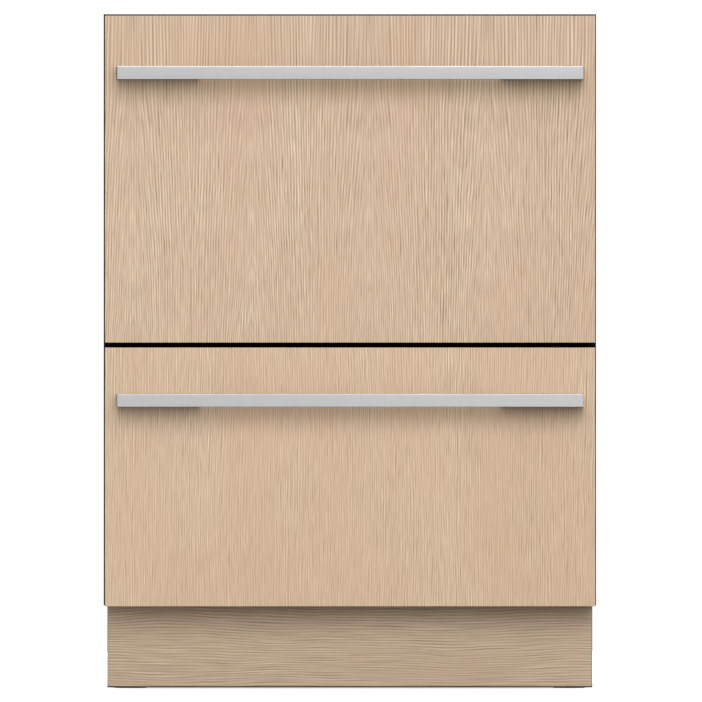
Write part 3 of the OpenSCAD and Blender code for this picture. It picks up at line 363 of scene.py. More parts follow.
def thread(work, radius, root, pitch, low, high, around=24, steps=6, bore=0.0):
    """Adds a threaded rod along Z, or a threaded sleeve when it has a bore."""
    count = round((high - low) / pitch * steps)
    rings = []
    for row in range(count + 1):
        height = low + (high - low) * row / count
        ease = min(1.0, min(row, count - row) / steps)
        ring = []
        for i in range(around):
            phase = (height / pitch - i / around) % 1.0
            reach = root + (radius - root) * ease * max(0.0, min(1.0, 1.6 - 3.2 * abs(phase - 0.5)))
            ring.append(work.verts.new((
                reach * math.cos(2 * math.pi * i / around),
                reach * math.sin(2 * math.pi * i / around), height)))
        rings.append(ring)
    if bore:
        rings += [ring_of(work, bore, high, around), ring_of(work, bore, low, around), rings[0]]
    join_rings(work, rings)
    if not bore:
        work.faces.new(rings[0][::-1])
        work.faces.new(rings[-1])


def mesh_of(name, work, degrees=32):
    """The finished work as a mesh, with its faces turned outward."""
    bmesh.ops.recalc_face_normals(work, faces=work.faces)
    shape = bpy.data.meshes.new(name)
    work.to_mesh(shape)
    work.free()
    smooth(shape, degrees)
    return shape


def steel(name, deep, pale, rough=0.3, brush=(1, 1, 1), scale=300.0, depth=0.00002):
    """Bare or plated metal, with marks drawn out along the way it was rolled or brushed."""
    f = Finish(name, Metallic=1.0)
    marks = f.noise(f.place(brush), scale, 3.0, 0.6)
    cloud = f.noise(f.place(), 11.0, 3.0)
    return f.show(
        Base_Color=f.blend(f.span(0.5 * marks + 0.5 * cloud, 0.3, 0.7), deep, pale),
        Roughness=f.span(marks, 0.25, 0.75, rough - 0.05, rough + 0.09),
        Normal=f.relief(marks, depth, 0.5))


PAD_FINISH = moulded("foot_plastic", (0.018, 0.018, 0.019), (0.035, 0.034, 0.034), 0.55)
STEM_FINISH = steel("plated_stem", (0.36, 0.36, 0.35), (0.52, 0.51, 0.49), 0.34)
PAD_R, PAD_TOP, HEX_TOP, HEX_R = 0.020, 0.008, 0.014, 0.010
STEM_R, STEM_ROOT, STEM_PITCH = 0.005, 0.0044, 0.002
for place in ("front_left", "front_right", "rear_left", "rear_right"):
    node = "foot_" + place
    low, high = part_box(node)
    middle = (low + high) / 2
    work = bmesh.new()
    lathe(work, [(0, 0.0006), (PAD_R - 0.004, 0.0006), (PAD_R - 0.0034, 0), (PAD_R - 0.001, 0),
                 (PAD_R, 0.001), (PAD_R, PAD_TOP - 0.0035), (PAD_R - 0.0008, PAD_TOP - 0.0022),
                 (PAD_R - 0.006, PAD_TOP - 0.0002), (0, PAD_TOP)], 48)
    lathe(work, [(0, PAD_TOP - 0.001), (HEX_R, PAD_TOP - 0.001), (HEX_R, HEX_TOP - 0.001),
                 (HEX_R - 0.0012, HEX_TOP), (0, HEX_TOP)], 6)
    plastic_faces = len(work.faces)
    thread(work, STEM_R, STEM_ROOT, STEM_PITCH, HEX_TOP - 0.001, high.z)
    work.faces.ensure_lookup_table()
    for face in work.faces[plastic_faces:]:
        face.material_index = 1
    bmesh.ops.translate(work, verts=work.verts, vec=(middle.x, middle.y, 0))
    foot = link(node + "_turned", mesh_of(node, work), PAD_FINISH, STEM_FINISH)
    stands_for(foot, node)


# ---- Screws ----------------------------------
# Zinc-plated pan heads with a cross recess. Eight hold the back sheet to the top and the
# shelf, and three hold the toe kick to the tray.
class Recipe:
    """A Geometry Nodes tree with named inputs. Its last shape is realised and given a material."""

    def __init__(self, name, **inputs):
        self.tree = bpy.data.node_groups.new(name, "GeometryNodeTree")
        face = self.tree.interface
        face.new_socket("Geometry", in_out="INPUT", socket_type="NodeSocketGeometry")
        for key, kind in inputs.items():
            face.new_socket(key, in_out="INPUT", socket_type="NodeSocket" + kind)
        face.new_socket("Finish", in_out="INPUT", socket_type="NodeSocketMaterial")
        face.new_socket("Geometry", in_out="OUTPUT", socket_type="NodeSocketGeometry")
        given = self.tree.nodes.new("NodeGroupInput")
        self.given = {socket.name: socket for socket in given.outputs}
        self.end = self.tree.nodes.new("NodeGroupOutput")

    def node(self, kind, settings=None, sockets=None, out=0):
        made = self.tree.nodes.new("GeometryNode" + kind)
        for key, value in (settings or {}).items():
            setattr(made, key, value)
        for key, value in (sockets or {}).items():
            if isinstance(value, bpy.types.NodeSocket):
                self.tree.links.new(value, made.inputs[key])
            else:
                made.inputs[key].default_value = value
        return made.outputs[out]

    def close(self, shape):
        whole = self.node("RealizeInstances", None, {"Geometry": shape})
        dressed = self.node("SetMaterial", None, {"Geometry": whole, "Material": self.given["Finish"]})
        self.tree.links.new(dressed, self.end.inputs[0])
        return self

    def make(self, name, mesh, **values):
        """A plain mesh of this tree run on a mesh with these inputs."""
        thing = link(name, mesh)
        bent = thing.modifiers.new("recipe", "NODES")
        bent.node_group = self.tree
        for item in self.tree.interface.items_tree:
            if item.in_out == "INPUT" and item.name in values:
                bent[item.identifier] = values[item.name]
        return settled(thing)


def points(*places):
    mesh = bpy.data.meshes.new("points")
    mesh.from_pydata(places, [], [])
    return mesh


# One small piece set at each point of the mesh that it is run on
SET_OUT = Recipe("set_out", Piece="Object", Turn="Rotation")
piece = SET_OUT.node("ObjectInfo", {"transform_space": "ORIGINAL"},
                     {"Object": SET_OUT.given["Piece"]}, out="Geometry")
SET_OUT.close(SET_OUT.node("InstanceOnPoints", None, {
    "Points": SET_OUT.given["Geometry"], "Instance": piece, "Rotation": SET_OUT.given["Turn"]}))


def set_out(name, pattern, places, finish, turn=(0, 0, 0)):
    """The pattern's mesh repeated at every place, as one plain piece. The pattern is taken away."""
    from_one = link("pattern_of_" + name, pattern)
    made = SET_OUT.make(name, points(*places), Piece=from_one, Turn=turn, Finish=finish)
    bpy.data.objects.remove(from_one)
    smooth(made.data)
    return made


def block(work, low, high):
    """Adds a box between two corners."""
    made = bmesh.ops.create_cube(work, size=1.0)["verts"]
    bmesh.ops.scale(work, verts=made, vec=[b - a for a, b in zip(low, high)])
    bmesh.ops.translate(work, verts=made, vec=[(a + b) / 2 for a, b in zip(low, high)])


def cut_from(mesh, tool):
    """The first mesh with the second one's shape cut out of it."""
    body, cutter = link("body", mesh), link("cutter", tool)
    bite = body.modifiers.new("bite", "BOOLEAN")
    bite.operation, bite.object, bite.solver = "DIFFERENCE", cutter, "EXACT"
    shape = settled(body).data
    for used in (body, cutter):
        bpy.data.objects.remove(used)
    return shape


HEAD_R, HEAD_H, SHANK_R, SHANK_L = 0.0034, 0.0020, 0.0019, 0.0054
CROSS_W, CROSS_L, CROSS_FLOOR = 0.0007, 0.0036, 0.0010


def pan_head():
    """A screw along +Z from its seat at z = 0, with a domed head and a cross recess."""
    work = bmesh.new()
    lathe(work, [(0, -HEAD_H), (0.0012, -0.00197), (0.0022, -0.0018), (0.003, -0.0013),
                 (HEAD_R, -0.0006), (HEAD_R, -0.0002), (HEAD_R - 0.0002, 0), (SHANK_R, 0),
                 (SHANK_R, SHANK_L - 0.001), (0, SHANK_L)], 24)
    shape = mesh_of("pan_head", work)
    for width, length in ((CROSS_W, CROSS_L), (CROSS_L, CROSS_W)):
        slit = bmesh.new()
        block(slit, (-width / 2, -length / 2, -HEAD_R), (width / 2, length / 2, -CROSS_FLOOR))
        shape = cut_from(shape, mesh_of("slit", slit))
    return shape


SCREW_FINISH = steel("plated_screw", (0.36, 0.36, 0.35), (0.54, 0.53, 0.50), 0.30)
SHEET_T = 0.0012
BACK_REACH, SHELF_SCREW_Z, TOP_SCREW_Z = 0.260, 0.4169, 0.8144
KICK_INSET, KICK_SCREW_Z = 0.075, 0.060
back_seat, kick_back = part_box("back_panel")[1].y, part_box("toe_kick")[1]
places = [(BACK_REACH * k / 3, back_seat, z) for k in (-3, -1, 1, 3)
          for z in (SHELF_SCREW_Z, TOP_SCREW_Z)]
places += [(k * (kick_back.x - KICK_INSET), kick_back.y + SHEET_T, KICK_SCREW_Z) for k in (-1, 0, 1)]
screws = set_out("pan_head_screws", pan_head(), places, SCREW_FINISH, (math.radians(90), 0, 0))
stands_for(screws, "cabinet_screws")


# ---- Water, drain and mains connections ------
# A moulded solenoid valve with a threaded inlet and its coil, a moulded drain elbow with a
# barbed spigot, and a terminal box for the mains lead. They pass the tray's rear flange.
PORT_Y, PORT_Z, COLLAR_END = 0.261, 0.0612, 0.2622


def slimmer(x, radius, to, beyond):
    """Draws in the outer wall of a spigot along Y, to leave room for its thread or barbs."""
    def reshape(work):
        for v in work.verts:
            out = math.hypot(v.co.x - x, v.co.z - PORT_Z)
            if v.co.y > beyond and abs(out - radius) < 0.0002:
                v.co.x = x + (v.co.x - x) * to / radius
                v.co.z = PORT_Z + (v.co.z - PORT_Z) * to / radius
    return reshape


def onto_port(work, x, start):
    """Turns a piece made along +Z to point out of the back at a port."""
    bmesh.ops.transform(work, verts=work.verts, matrix=Matrix.Translation((x, start, PORT_Z))
                        @ Matrix.Rotation(math.radians(-90), 4, "X"))


VALVE = moulded("valve_plastic", (0.66, 0.67, 0.66), (0.76, 0.77, 0.75), 0.4)
INLET_X, INLET_R, INLET_WALL, THREAD_DEPTH, THREAD_PITCH = -0.220, 0.0132, 0.0016, 0.0011, 0.0018
THREAD_LOW, THREAD_BACK = 0.0008, 0.0016
valve_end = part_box("inlet_valve")[1]
eased("inlet_valve", 0.0008, VALVE,
      reshape=slimmer(INLET_X, INLET_R, INLET_R - 0.0012, COLLAR_END - 0.0001))
work = bmesh.new()
thread(work, INLET_R, INLET_R - THREAD_DEPTH, THREAD_PITCH, THREAD_LOW,
       valve_end.y - PORT_Y - THREAD_BACK, around=32, bore=INLET_R - INLET_WALL)
onto_port(work, INLET_X, PORT_Y + 0.0004)
inlet_thread = link("inlet_thread", mesh_of("inlet_thread", work, 60), VALVE)
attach(inlet_thread, "cabinet")

# The coil's yoke, a folded steel strap over it, with its two spade terminals
YOKE = steel("coil_yoke", (0.33, 0.34, 0.34), (0.48, 0.49, 0.49), 0.37)
YOKE_X, YOKE_Y, YOKE_H, YOKE_T, YOKE_BACK = 0.0105, 0.0125, 0.0190, 0.0012, 0.018
SPADE_X, SPADE_T, SPADE_TOP = 0.0056, 0.0008, 0.0075
work = bmesh.new()
block(work, (-YOKE_X, -YOKE_Y, 0), (YOKE_X, YOKE_Y, YOKE_T))
for side in (-1, 1):
    cheek, spade = side * (YOKE_Y - YOKE_T / 2), side * SPADE_X
    block(work, (-YOKE_X, cheek - YOKE_T / 2, -YOKE_H), (YOKE_X, cheek + YOKE_T / 2, YOKE_T))
    block(work, (spade - SPADE_T / 2, -0.0020, 0.0010), (spade + SPADE_T / 2, 0.0028, SPADE_TOP))
bmesh.ops.bevel(work, geom=work.edges[:], offset=0.00025, segments=2, affect="EDGES", profile=0.5)
bmesh.ops.translate(work, verts=work.verts, vec=(INLET_X, PORT_Y - YOKE_BACK, valve_end.z))
yoke = link("coil_yoke", mesh_of("coil_yoke", work), YOKE)
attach(yoke, "cabinet")

CONNECTOR = moulded("connector_plastic", (0.10, 0.10, 0.105), (0.16, 0.16, 0.16), 0.5)
DRAIN_X, DRAIN_R, BARBS, BARB_START, BARB_PITCH, BARBS_END = 0.145, 0.0095, 5, 0.006, 0.0045, 0.0265
eased("drain_connector", 0.0008, CONNECTOR,
      reshape=slimmer(DRAIN_X, DRAIN_R, DRAIN_R - 0.0010, COLLAR_END - 0.0001))
bore = DRAIN_R - 0.0014
profile = [(bore, 0.002)]
for k in range(BARBS):
    barb_z = BARB_START + BARB_PITCH * k
    profile += [(DRAIN_R, barb_z - 0.0028), (DRAIN_R - 0.0002, barb_z - 0.0031),
                (DRAIN_R - 0.0008, barb_z + 0.0008)]
profile += [(DRAIN_R - 0.0012, BARBS_END), (bore, BARBS_END)]
work = bmesh.new()
rings = [ring_of(work, radius, height, 36) for radius, height in profile]
join_rings(work, rings + rings[:1])
onto_port(work, DRAIN_X, PORT_Y)
barb = link("drain_barbs", mesh_of("drain_barbs", work, 20), CONNECTOR)
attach(barb, "cabinet")
eased("mains_box", 0.0009, CONNECTOR)


# ---- Drawer rails ----------------------------
# Roll-formed steel channels, zinc plated: one member on the cabinet, one between and one on
# the tub, on each side of each drawer.
RAIL = steel("rail_steel", (0.27, 0.28, 0.285), (0.40, 0.41, 0.41), 0.36, (1, 0.03, 1), 500.0)
for rail in ("outer_rails", "upper_middle_rails", "lower_middle_rails", "upper_inner_rails",
             "lower_inner_rails"):
    eased(rail, 0.0004, RAIL)


# ---- Lids and lifters ------------------------
# Ribbed pale mouldings with a rubber seal below. Four pins hold each lid in slotted bars
# beside it, which guide it down onto its tub.
LID = moulded("lid_plastic", (0.46, 0.47, 0.47), (0.54, 0.55, 0.55), 0.42)
RUBBER = moulded("seal_rubber", (0.020, 0.020, 0.021), (0.034, 0.033, 0.033), 0.68, 1400.0)
LIFTER = moulded("lifter_plastic", (0.08, 0.082, 0.085), (0.12, 0.122, 0.125), 0.5)
eased("lid_lifters", 0.0006, LIFTER)
for drawer in ("upper", "lower"):
    eased(drawer + "_lid", 0.0006, LID)
    eased(drawer + "_lid_seal", 0.0013, RUBBER, 4)


# ---- Tubs ------------------------------------
# One deep moulding for each drawer, in pale grey polypropylene, with a round filter seat and
# a sump in its floor.
TUB = moulded("tub_plastic", (0.47, 0.48, 0.49), (0.55, 0.56, 0.57), 0.36, 1100.0, 0.00003)
for drawer in ("upper", "lower"):
    eased(drawer + "_tub", 0.0008, TUB)


# ---- Filters, spray arms and motors ----------
# A slotted plate with a woven mesh lies over each sump. A moulded two-blade arm turns on its
# post, and the flat wash motor below is a die-cast can.
def filter_mesh():
    """A fine metal weave, with its holes painted near black as painted shade."""
    f = Finish("filter_mesh", Metallic=0.85)
    cells = f.node("ShaderNodeTexVoronoi", {"feature": "F1"}, {
        "Vector": f.place(), "Scale": 520.0, "Randomness": 0.15})
    hole = f.math("LESS_THAN", cells, 0.33)
    haze = f.noise(f.place(), 25.0, 3.0)
    # Painted shade: the holes are painted near black
    return f.show(
        Base_Color=f.blend(hole, (0.34, 0.35, 0.36), (0.05, 0.05, 0.055)),
        Roughness=f.span(haze, 0.3, 0.7, 0.3, 0.45),
        Normal=f.relief(1 - hole, 0.0002, 0.6))


MESH_PLATE = filter_mesh()
ARM = moulded("spray_plastic", (0.26, 0.31, 0.37), (0.32, 0.37, 0.43), 0.34)
MOTOR = steel("cast_alloy", (0.30, 0.30, 0.31), (0.48, 0.48, 0.49), 0.5, (1, 1, 1), 700.0, 0.00008)
for drawer in ("upper", "lower"):
    eased(drawer + "_filter_plate", 0.0004, MESH_PLATE)
    eased(drawer + "_spray_arm", 0.0012, ARM, 3)
    eased(drawer + "_wash_motor", 0.0015, MOTOR, 3)


# ---- Baskets ---------------------------------
# Welded steel wire with a grey nylon coat. Bent wires run along and across the floor and up
# the sides to a thicker rim, and rows of tines stand on rods over the cross wires.
WIRE = Recipe("bent_wire", Count="Int", Step="Vector", Wire="Float", Bend="Float", Bends="Int",
              Sides="Int")
path = WIRE.node("MeshToCurve", None, {"Mesh": WIRE.given["Geometry"]})
path = WIRE.node("FilletCurve", {"mode": "POLY"}, {
    "Curve": path, "Count": WIRE.given["Bends"], "Radius": WIRE.given["Bend"], "Limit Radius": True})
round_section = WIRE.node("CurvePrimitiveCircle", {"mode": "RADIUS"}, {
    "Resolution": WIRE.given["Sides"], "Radius": WIRE.given["Wire"]})
solid_wire = WIRE.node("CurveToMesh", None, {
    "Curve": path, "Profile Curve": round_section, "Fill Caps": True})
row = WIRE.node("MeshLine", {"mode": "OFFSET"}, {
    "Count": WIRE.given["Count"], "Offset": WIRE.given["Step"]})
WIRE.close(WIRE.node("InstanceOnPoints", None, {"Points": row, "Instance": solid_wire}))


def wires(corners, radius, bend=0.0, count=1, step=(0, 0, 0), closed=False, sides=8, bends=5):
    """A mesh of count bent wires, each step from the last, along these corners."""
    mesh = bpy.data.meshes.new("path")
    edges = [(i, i + 1) for i in range(len(corners) - 1)]
    if closed:
        edges.append((len(corners) - 1, 0))
    mesh.from_pydata(corners, edges, [])
    made = WIRE.make("wires", mesh, Count=count, Step=step, Wire=radius, Bend=bend, Bends=bends,
                     Sides=sides)
    shape = made.data
    bpy.data.objects.remove(made)
    return shape


def tine(radius, height):
    """An upright wire with a rounded tip."""
    work = bmesh.new()
    lathe(work, [(0, 0), (radius, 0), (radius, height - radius), (radius * 0.8, height - radius * 0.4),
                 (radius * 0.4, height - radius * 0.08), (0, height)], 8)
    return mesh_of("tine", work, 60)


def tines(places):
    """Tines stood at these places, as one mesh."""
    stood = set_out("tines", tine(WIRE_R, TINE_H), places, NYLON)
    shape = stood.data
    bpy.data.objects.remove(stood)
    return shape


def gathered(name, meshes, finish, degrees=50):
    """Several meshes as one piece."""
    work = bmesh.new()
    for mesh in meshes:
        work.from_mesh(mesh)
    return link(name, mesh_of(name, work, degrees), finish)


def solid_box(low, high, arris):
    """A box between two corners, with its edges eased."""
    work = bmesh.new()
    block(work, low, high)
    bmesh.ops.bevel(work, geom=work.edges[:], offset=arris, segments=2, affect="EDGES", profile=0.5)
    return mesh_of("block", work)


def with_bore(mesh, start, reach, radius):
    """A mesh with a round hole drilled from a start, as far and in the way that reach says."""
    work = bmesh.new()
    lathe(work, [(0, 0), (radius, 0), (radius, 1), (0, 1)], 24)
    along = Vector(reach)
    bmesh.ops.transform(work, verts=work.verts, matrix=Matrix.Translation(start)
                        @ along.to_track_quat("Z", "Y").to_matrix().to_4x4()
                        @ Matrix.Diagonal((1, 1, along.length, 1)))
    return cut_from(mesh, mesh_of("drill", work))


NYLON = moulded("nylon_coat", (0.30, 0.31, 0.33), (0.37, 0.38, 0.40), 0.3, 700.0, 0.00006)
RACK_PLASTIC = moulded("rack_plastic", (0.16, 0.175, 0.20), (0.21, 0.225, 0.25), 0.4)
WIRE_R, RIM_R, TOUCH, TINE_H = 0.0016, 0.0025, 0.00005, 0.068
RIM_OUT = WIRE_R + RIM_R + TOUCH
low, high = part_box("upper_basket")
MID_Y = (low.y + high.y) / 2
SPAN_X, SPAN_Y = high.x - RIM_OUT - RIM_R, high.y - MID_Y - RIM_OUT - RIM_R
BELT_OUT, CROSS_RISE, RACK_TOP, BEND_R, FOOT_BEND = 0.00325, 0.00485, 0.00645, 0.030, 0.009
CROSS_Y, CROSS_STEP, CROSS_COUNT = -0.159, 0.048225, 9
LONG_X, LONG_STEP, LONG_COUNT = -0.238, 0.0476, 11
TINE_LEFT, TINE_PITCH, TINE_ROD_PAST = -0.234, 0.026, 0.016
ROWS, FOLD_ROW = (-0.110775, 0.082125, 0.178575), -0.014325
FOLD_Z, FOLD_ROD_R, FOLD_ROD_PAST, PLAY = 0.0145, 0.0022, 0.008, 0.0001
CLIP_X, CLIP_Y, CLIP_OVER, CLIP_DRILL = 0.004, 0.006, 0.004, 0.006
CUP_X, CUP_Z, CUP_ROD_R = -0.254, 0.09845, 0.0025
CUP_CLIP_X, CUP_CLIP_Y, CUP_CLIP_Z, CUP_DRILL = 0.007, 0.005, 0.007, 0.007
CUP_CLIPS = (CROSS_Y + CROSS_STEP, CROSS_Y + 7 * CROSS_STEP)
for drawer, count in (("lower", 18), ("upper", 12)):
    low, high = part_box(drawer + "_basket")
    base, top, low_y, high_y = low.z, high.z, MID_Y - SPAN_Y, MID_Y + SPAN_Y
    wire_top, floor_z, cross_z = top - 0.001, base + WIRE_R, base + CROSS_RISE
    parts = [
        wires([(LONG_X, low_y, wire_top), (LONG_X, low_y, floor_z),
               (LONG_X, high_y, floor_z), (LONG_X, high_y, wire_top)],
              WIRE_R, FOOT_BEND, LONG_COUNT, (LONG_STEP, 0, 0)),
        wires([(-SPAN_X, CROSS_Y, wire_top), (-SPAN_X, CROSS_Y, cross_z),
               (SPAN_X, CROSS_Y, cross_z), (SPAN_X, CROSS_Y, wire_top)],
              WIRE_R, FOOT_BEND, CROSS_COUNT, (0, CROSS_STEP, 0))]
    # The thick rim, and a thinner belt round the basket at half its height
    for out, radius, z in ((RIM_OUT, RIM_R, top - RIM_R), (BELT_OUT, WIRE_R, (base + top) / 2)):
        parts.append(wires([(x, y, z) for x, y in (
            (-SPAN_X - out, low_y - out), (SPAN_X + out, low_y - out),
            (SPAN_X + out, high_y + out), (-SPAN_X - out, high_y + out))],
            radius, BEND_R + out, closed=True, sides=12, bends=10))
    rod_z, tine_right = base + RACK_TOP + TOUCH + WIRE_R, TINE_LEFT + (count - 1) * TINE_PITCH
    for y in ROWS:
        parts.append(wires([(TINE_LEFT - TINE_ROD_PAST, y, rod_z),
                            (tine_right + TINE_ROD_PAST, y, rod_z)], WIRE_R))
    parts.append(tines([(TINE_LEFT + k * TINE_PITCH, y, rod_z + WIRE_R)
                        for y in ROWS for k in range(count)]))
    basket = gathered(drawer + "_wire_basket", parts, NYLON)
    stands_for(basket, drawer + "_basket")

    # Clips that hold the folding row's rod, and in the upper basket the cup rack's
    fold_z = base + FOLD_Z
    clip_places = (TINE_LEFT - 0.010, TINE_LEFT + count // 2 * TINE_PITCH, tine_right + 0.014)
    clips = [with_bore(
        solid_box((x - CLIP_X, FOLD_ROW - CLIP_Y, base + RACK_TOP + TOUCH),
                  (x + CLIP_X, FOLD_ROW + CLIP_Y, fold_z + FOLD_ROD_R + CLIP_OVER), 0.0008),
        (x - CLIP_DRILL, FOLD_ROW, fold_z), (2 * CLIP_DRILL, 0, 0), FOLD_ROD_R + PLAY)
        for x in clip_places]
    if drawer == "upper":
        cup_z = base + CUP_Z
        for y in CUP_CLIPS:
            clips.append(with_bore(
                solid_box((-SPAN_X + WIRE_R + TOUCH, y - CUP_CLIP_Y, cup_z - CUP_CLIP_Z),
                          (CUP_X + CUP_CLIP_X, y + CUP_CLIP_Y, cup_z + CUP_CLIP_Z), 0.0008),
                (CUP_X, y - CUP_DRILL, cup_z), (0, 2 * CUP_DRILL, 0), CUP_ROD_R + PLAY))
            clips.append(solid_box((CUP_X + 0.0026, y - CUP_CLIP_Y, cup_z - CUP_CLIP_Z),
                                   (CUP_X + 0.014, y + CUP_CLIP_Y, cup_z - 0.0018), 0.0005))
    holders = gathered(drawer + "_rod_clips", clips, RACK_PLASTIC, 32)
    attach(holders, drawer + "_drawer")

    # The folding row: a rod in the clips, with tines halfway between the fixed ones
    rod = wires([(clip_places[0] - FOLD_ROD_PAST, FOLD_ROW, fold_z),
                 (clip_places[-1] + FOLD_ROD_PAST, FOLD_ROW, fold_z)], FOLD_ROD_R, sides=12)
    folding = tines([(TINE_LEFT + (k + 0.5) * TINE_PITCH, FOLD_ROW, fold_z) for k in range(count - 1)])
    row = gathered(drawer + "_folding_row", [rod, folding], NYLON)
    stands_for(row, drawer + "_folding_tines")
eased("upper_cup_rack", 0.0006, RACK_PLASTIC)
eased("upper_cutlery_basket", 0.0005, RACK_PLASTIC)


# ---- Dispensers ------------------------------
# Grey mouldings set in each tub's front wall. A white cover slides over the detergent cup,
# and a quarter-turn cap closes the rinse-aid filler.
GREY = moulded("dispenser_grey", (0.24, 0.25, 0.26), (0.30, 0.31, 0.32), 0.42)
WHITE = moulded("dispenser_white", (0.62, 0.63, 0.63), (0.70, 0.71, 0.70), 0.36)
for drawer in ("upper", "lower"):
    eased(drawer + "_dispenser", 0.0005, GREY)
    eased(drawer + "_dispenser_door", 0.0004, WHITE)
    eased(drawer + "_rinse_cap", 0.0006, WHITE)


# ---- Casings and controls --------------------
# A hollow dark moulding behind each oak front carries the control strip in its top edge:
# a gloss black strip with three metal buttons and a row of indicator lights.
CASING = moulded("casing_plastic", (0.028, 0.029, 0.031), (0.045, 0.046, 0.048), 0.5)
GLOSS = moulded("strip_gloss", (0.006, 0.006, 0.007), (0.009, 0.009, 0.010), 0.12, 60.0, 0.00001,
                Coat_Weight=0.5)


def turned_metal(name, centres):
    """Satin metal with the fine rings that a lathe leaves, round whichever centre is nearest."""
    f = Finish(name, Metallic=1.0)
    across, along, _ = f.axes()
    rings = None
    for x, y in centres:
        from_x, from_y = across - x, along - y
        radius = (from_x * from_x + from_y * from_y) ** 0.5
        rings = f.math("MINIMUM", rings, radius) if rings else radius
    wave = f.math("SINE", rings * 16000.0)
    grit = f.noise(f.place(), 2500.0)
    return f.show(
        Base_Color=f.blend(f.span(wave * 0.25 + grit, 0.2, 0.9), (0.58, 0.58, 0.57), (0.76, 0.76, 0.75)),
        Roughness=f.span(grit, 0.3, 0.7, 0.24, 0.36),
        Normal=f.relief(wave, 0.000006, 0.4))


def indicator_lens():
    """Grey plastic, a little clouded, with no light behind it."""
    f = Finish("indicator_lens", Roughness=0.2)
    return f.show(Base_Color=f.blend(f.noise(f.place(), 900.0), (0.30, 0.34, 0.36), (0.44, 0.48, 0.50)))


STRIP_Y = -0.234
BUTTONS = (("power", -0.130), ("programme", 0.060), ("start", 0.130))
PLUNGER_R, FLANGE_R, CAP_R, DISH_R = 0.00275, 0.0062, 0.0055, 0.0042
FLANGE_LOW, FLANGE_TOP = 0.007, 0.0052
LENS_R, LENS_DEPTH, LENS_FIRST, LENS_PITCH, LENSES = 0.0009, 0.0008, -0.020, 0.016, 6
BUTTON_METAL = turned_metal("button_metal", [(x, STRIP_Y) for _, x in BUTTONS])
LAMP = indicator_lens()
for drawer in ("upper", "lower"):
    eased(drawer + "_front_casing", 0.0007, CASING)
    eased(drawer + "_control_strip", 0.0003, GLOSS)
    for name, x in BUTTONS:
        node = drawer + "_" + name + "_button"
        low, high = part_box(node)
        work = bmesh.new()
        lathe(work, [(0, low.z), (PLUNGER_R, low.z), (PLUNGER_R, high.z - FLANGE_LOW),
                     (FLANGE_R, high.z - FLANGE_LOW), (FLANGE_R, high.z - FLANGE_TOP),
                     (CAP_R, high.z - FLANGE_TOP + 0.0003), (CAP_R, high.z - 0.0005),
                     (CAP_R - 0.0003, high.z - 0.0001), (CAP_R - 0.0007, high.z),
                     (DISH_R, high.z - 0.0002), (DISH_R - 0.0020, high.z - 0.0006),
                     (0, high.z - 0.0007)], 40, (x, STRIP_Y, 0))
        stands_for(link(node + "_turned", mesh_of(node, work), BUTTON_METAL), node)
    strip_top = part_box(drawer + "_control_strip")[1].z
    work = bmesh.new()
    lathe(work, [(0, -LENS_DEPTH), (LENS_R, -LENS_DEPTH), (LENS_R, 0), (LENS_R - 0.0003, 0.00015),
                 (0, 0.0002)], 16)
    lamps = set_out(drawer + "_indicator_lights", mesh_of("lens", work),
                    [(LENS_FIRST - LENS_PITCH * i, STRIP_Y, strip_top) for i in range(LENSES)], LAMP)
    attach(lamps, drawer + "_drawer")


# ---- Oak fronts ------------------------------
# Veneered boards with lipped edges. The upper front's veneer is slip matched: the same leaf,
# with a narrow cathedral figure, is laid four times side by side. The lower one is straighter.
def tint(red, green, blue):
    """A colour given as it shows on a screen, from 0 to 255, as light."""
    return tuple(((c / 255 + 0.055) / 1.055) ** 2.4 for c in (red, green, blue))


BOARD_ARRIS, KICK_ARRIS, CORNER_R, VENEER_T, HAIRLINE = 0.0007, 0.0006, 0.0006, 0.0022, 0.0001
# Fades and depth of the painted shade lines along the boards' edges
EDGE_FADE, FOOT_FADE, EDGE_DEPTH = 0.0002, 0.0003, 0.0009
GROWTH_LINE = 0.0034


def board(node, arris, finish):
    """A board with rounded arrises and a hairline where the face veneer meets the lipping."""
    low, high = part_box(node)
    ease = [(0.0, arris), (arris * 0.12, arris * 0.5), (arris * 0.5, arris * 0.12), (arris, 0.0)]
    groove = [(VENEER_T - HAIRLINE, 0.0), (VENEER_T, HAIRLINE), (VENEER_T + HAIRLINE, 0.0)]
    depth = high.y - low.y
    work = bmesh.new()
    rings = []
    for back, inset in ease + groove + [(depth - d, inset) for d, inset in ease[::-1]]:
        edge = inset + CORNER_R
        ring = []
        for x, z, start in ((high.x - edge, low.z + edge, -90), (high.x - edge, high.z - edge, 0),
                            (low.x + edge, high.z - edge, 90), (low.x + edge, low.z + edge, 180)):
            for step in range(4):
                angle = math.radians(start + 30 * step)
                ring.append(work.verts.new((x + CORNER_R * math.cos(angle), low.y + back,
                                            z + CORNER_R * math.sin(angle))))
        rings.append(ring)
    join_rings(work, rings)
    work.faces.new(rings[0])
    work.faces.new(rings[-1][::-1])
    return stands_for(link(node + "_board", mesh_of(node, work), finish), node)


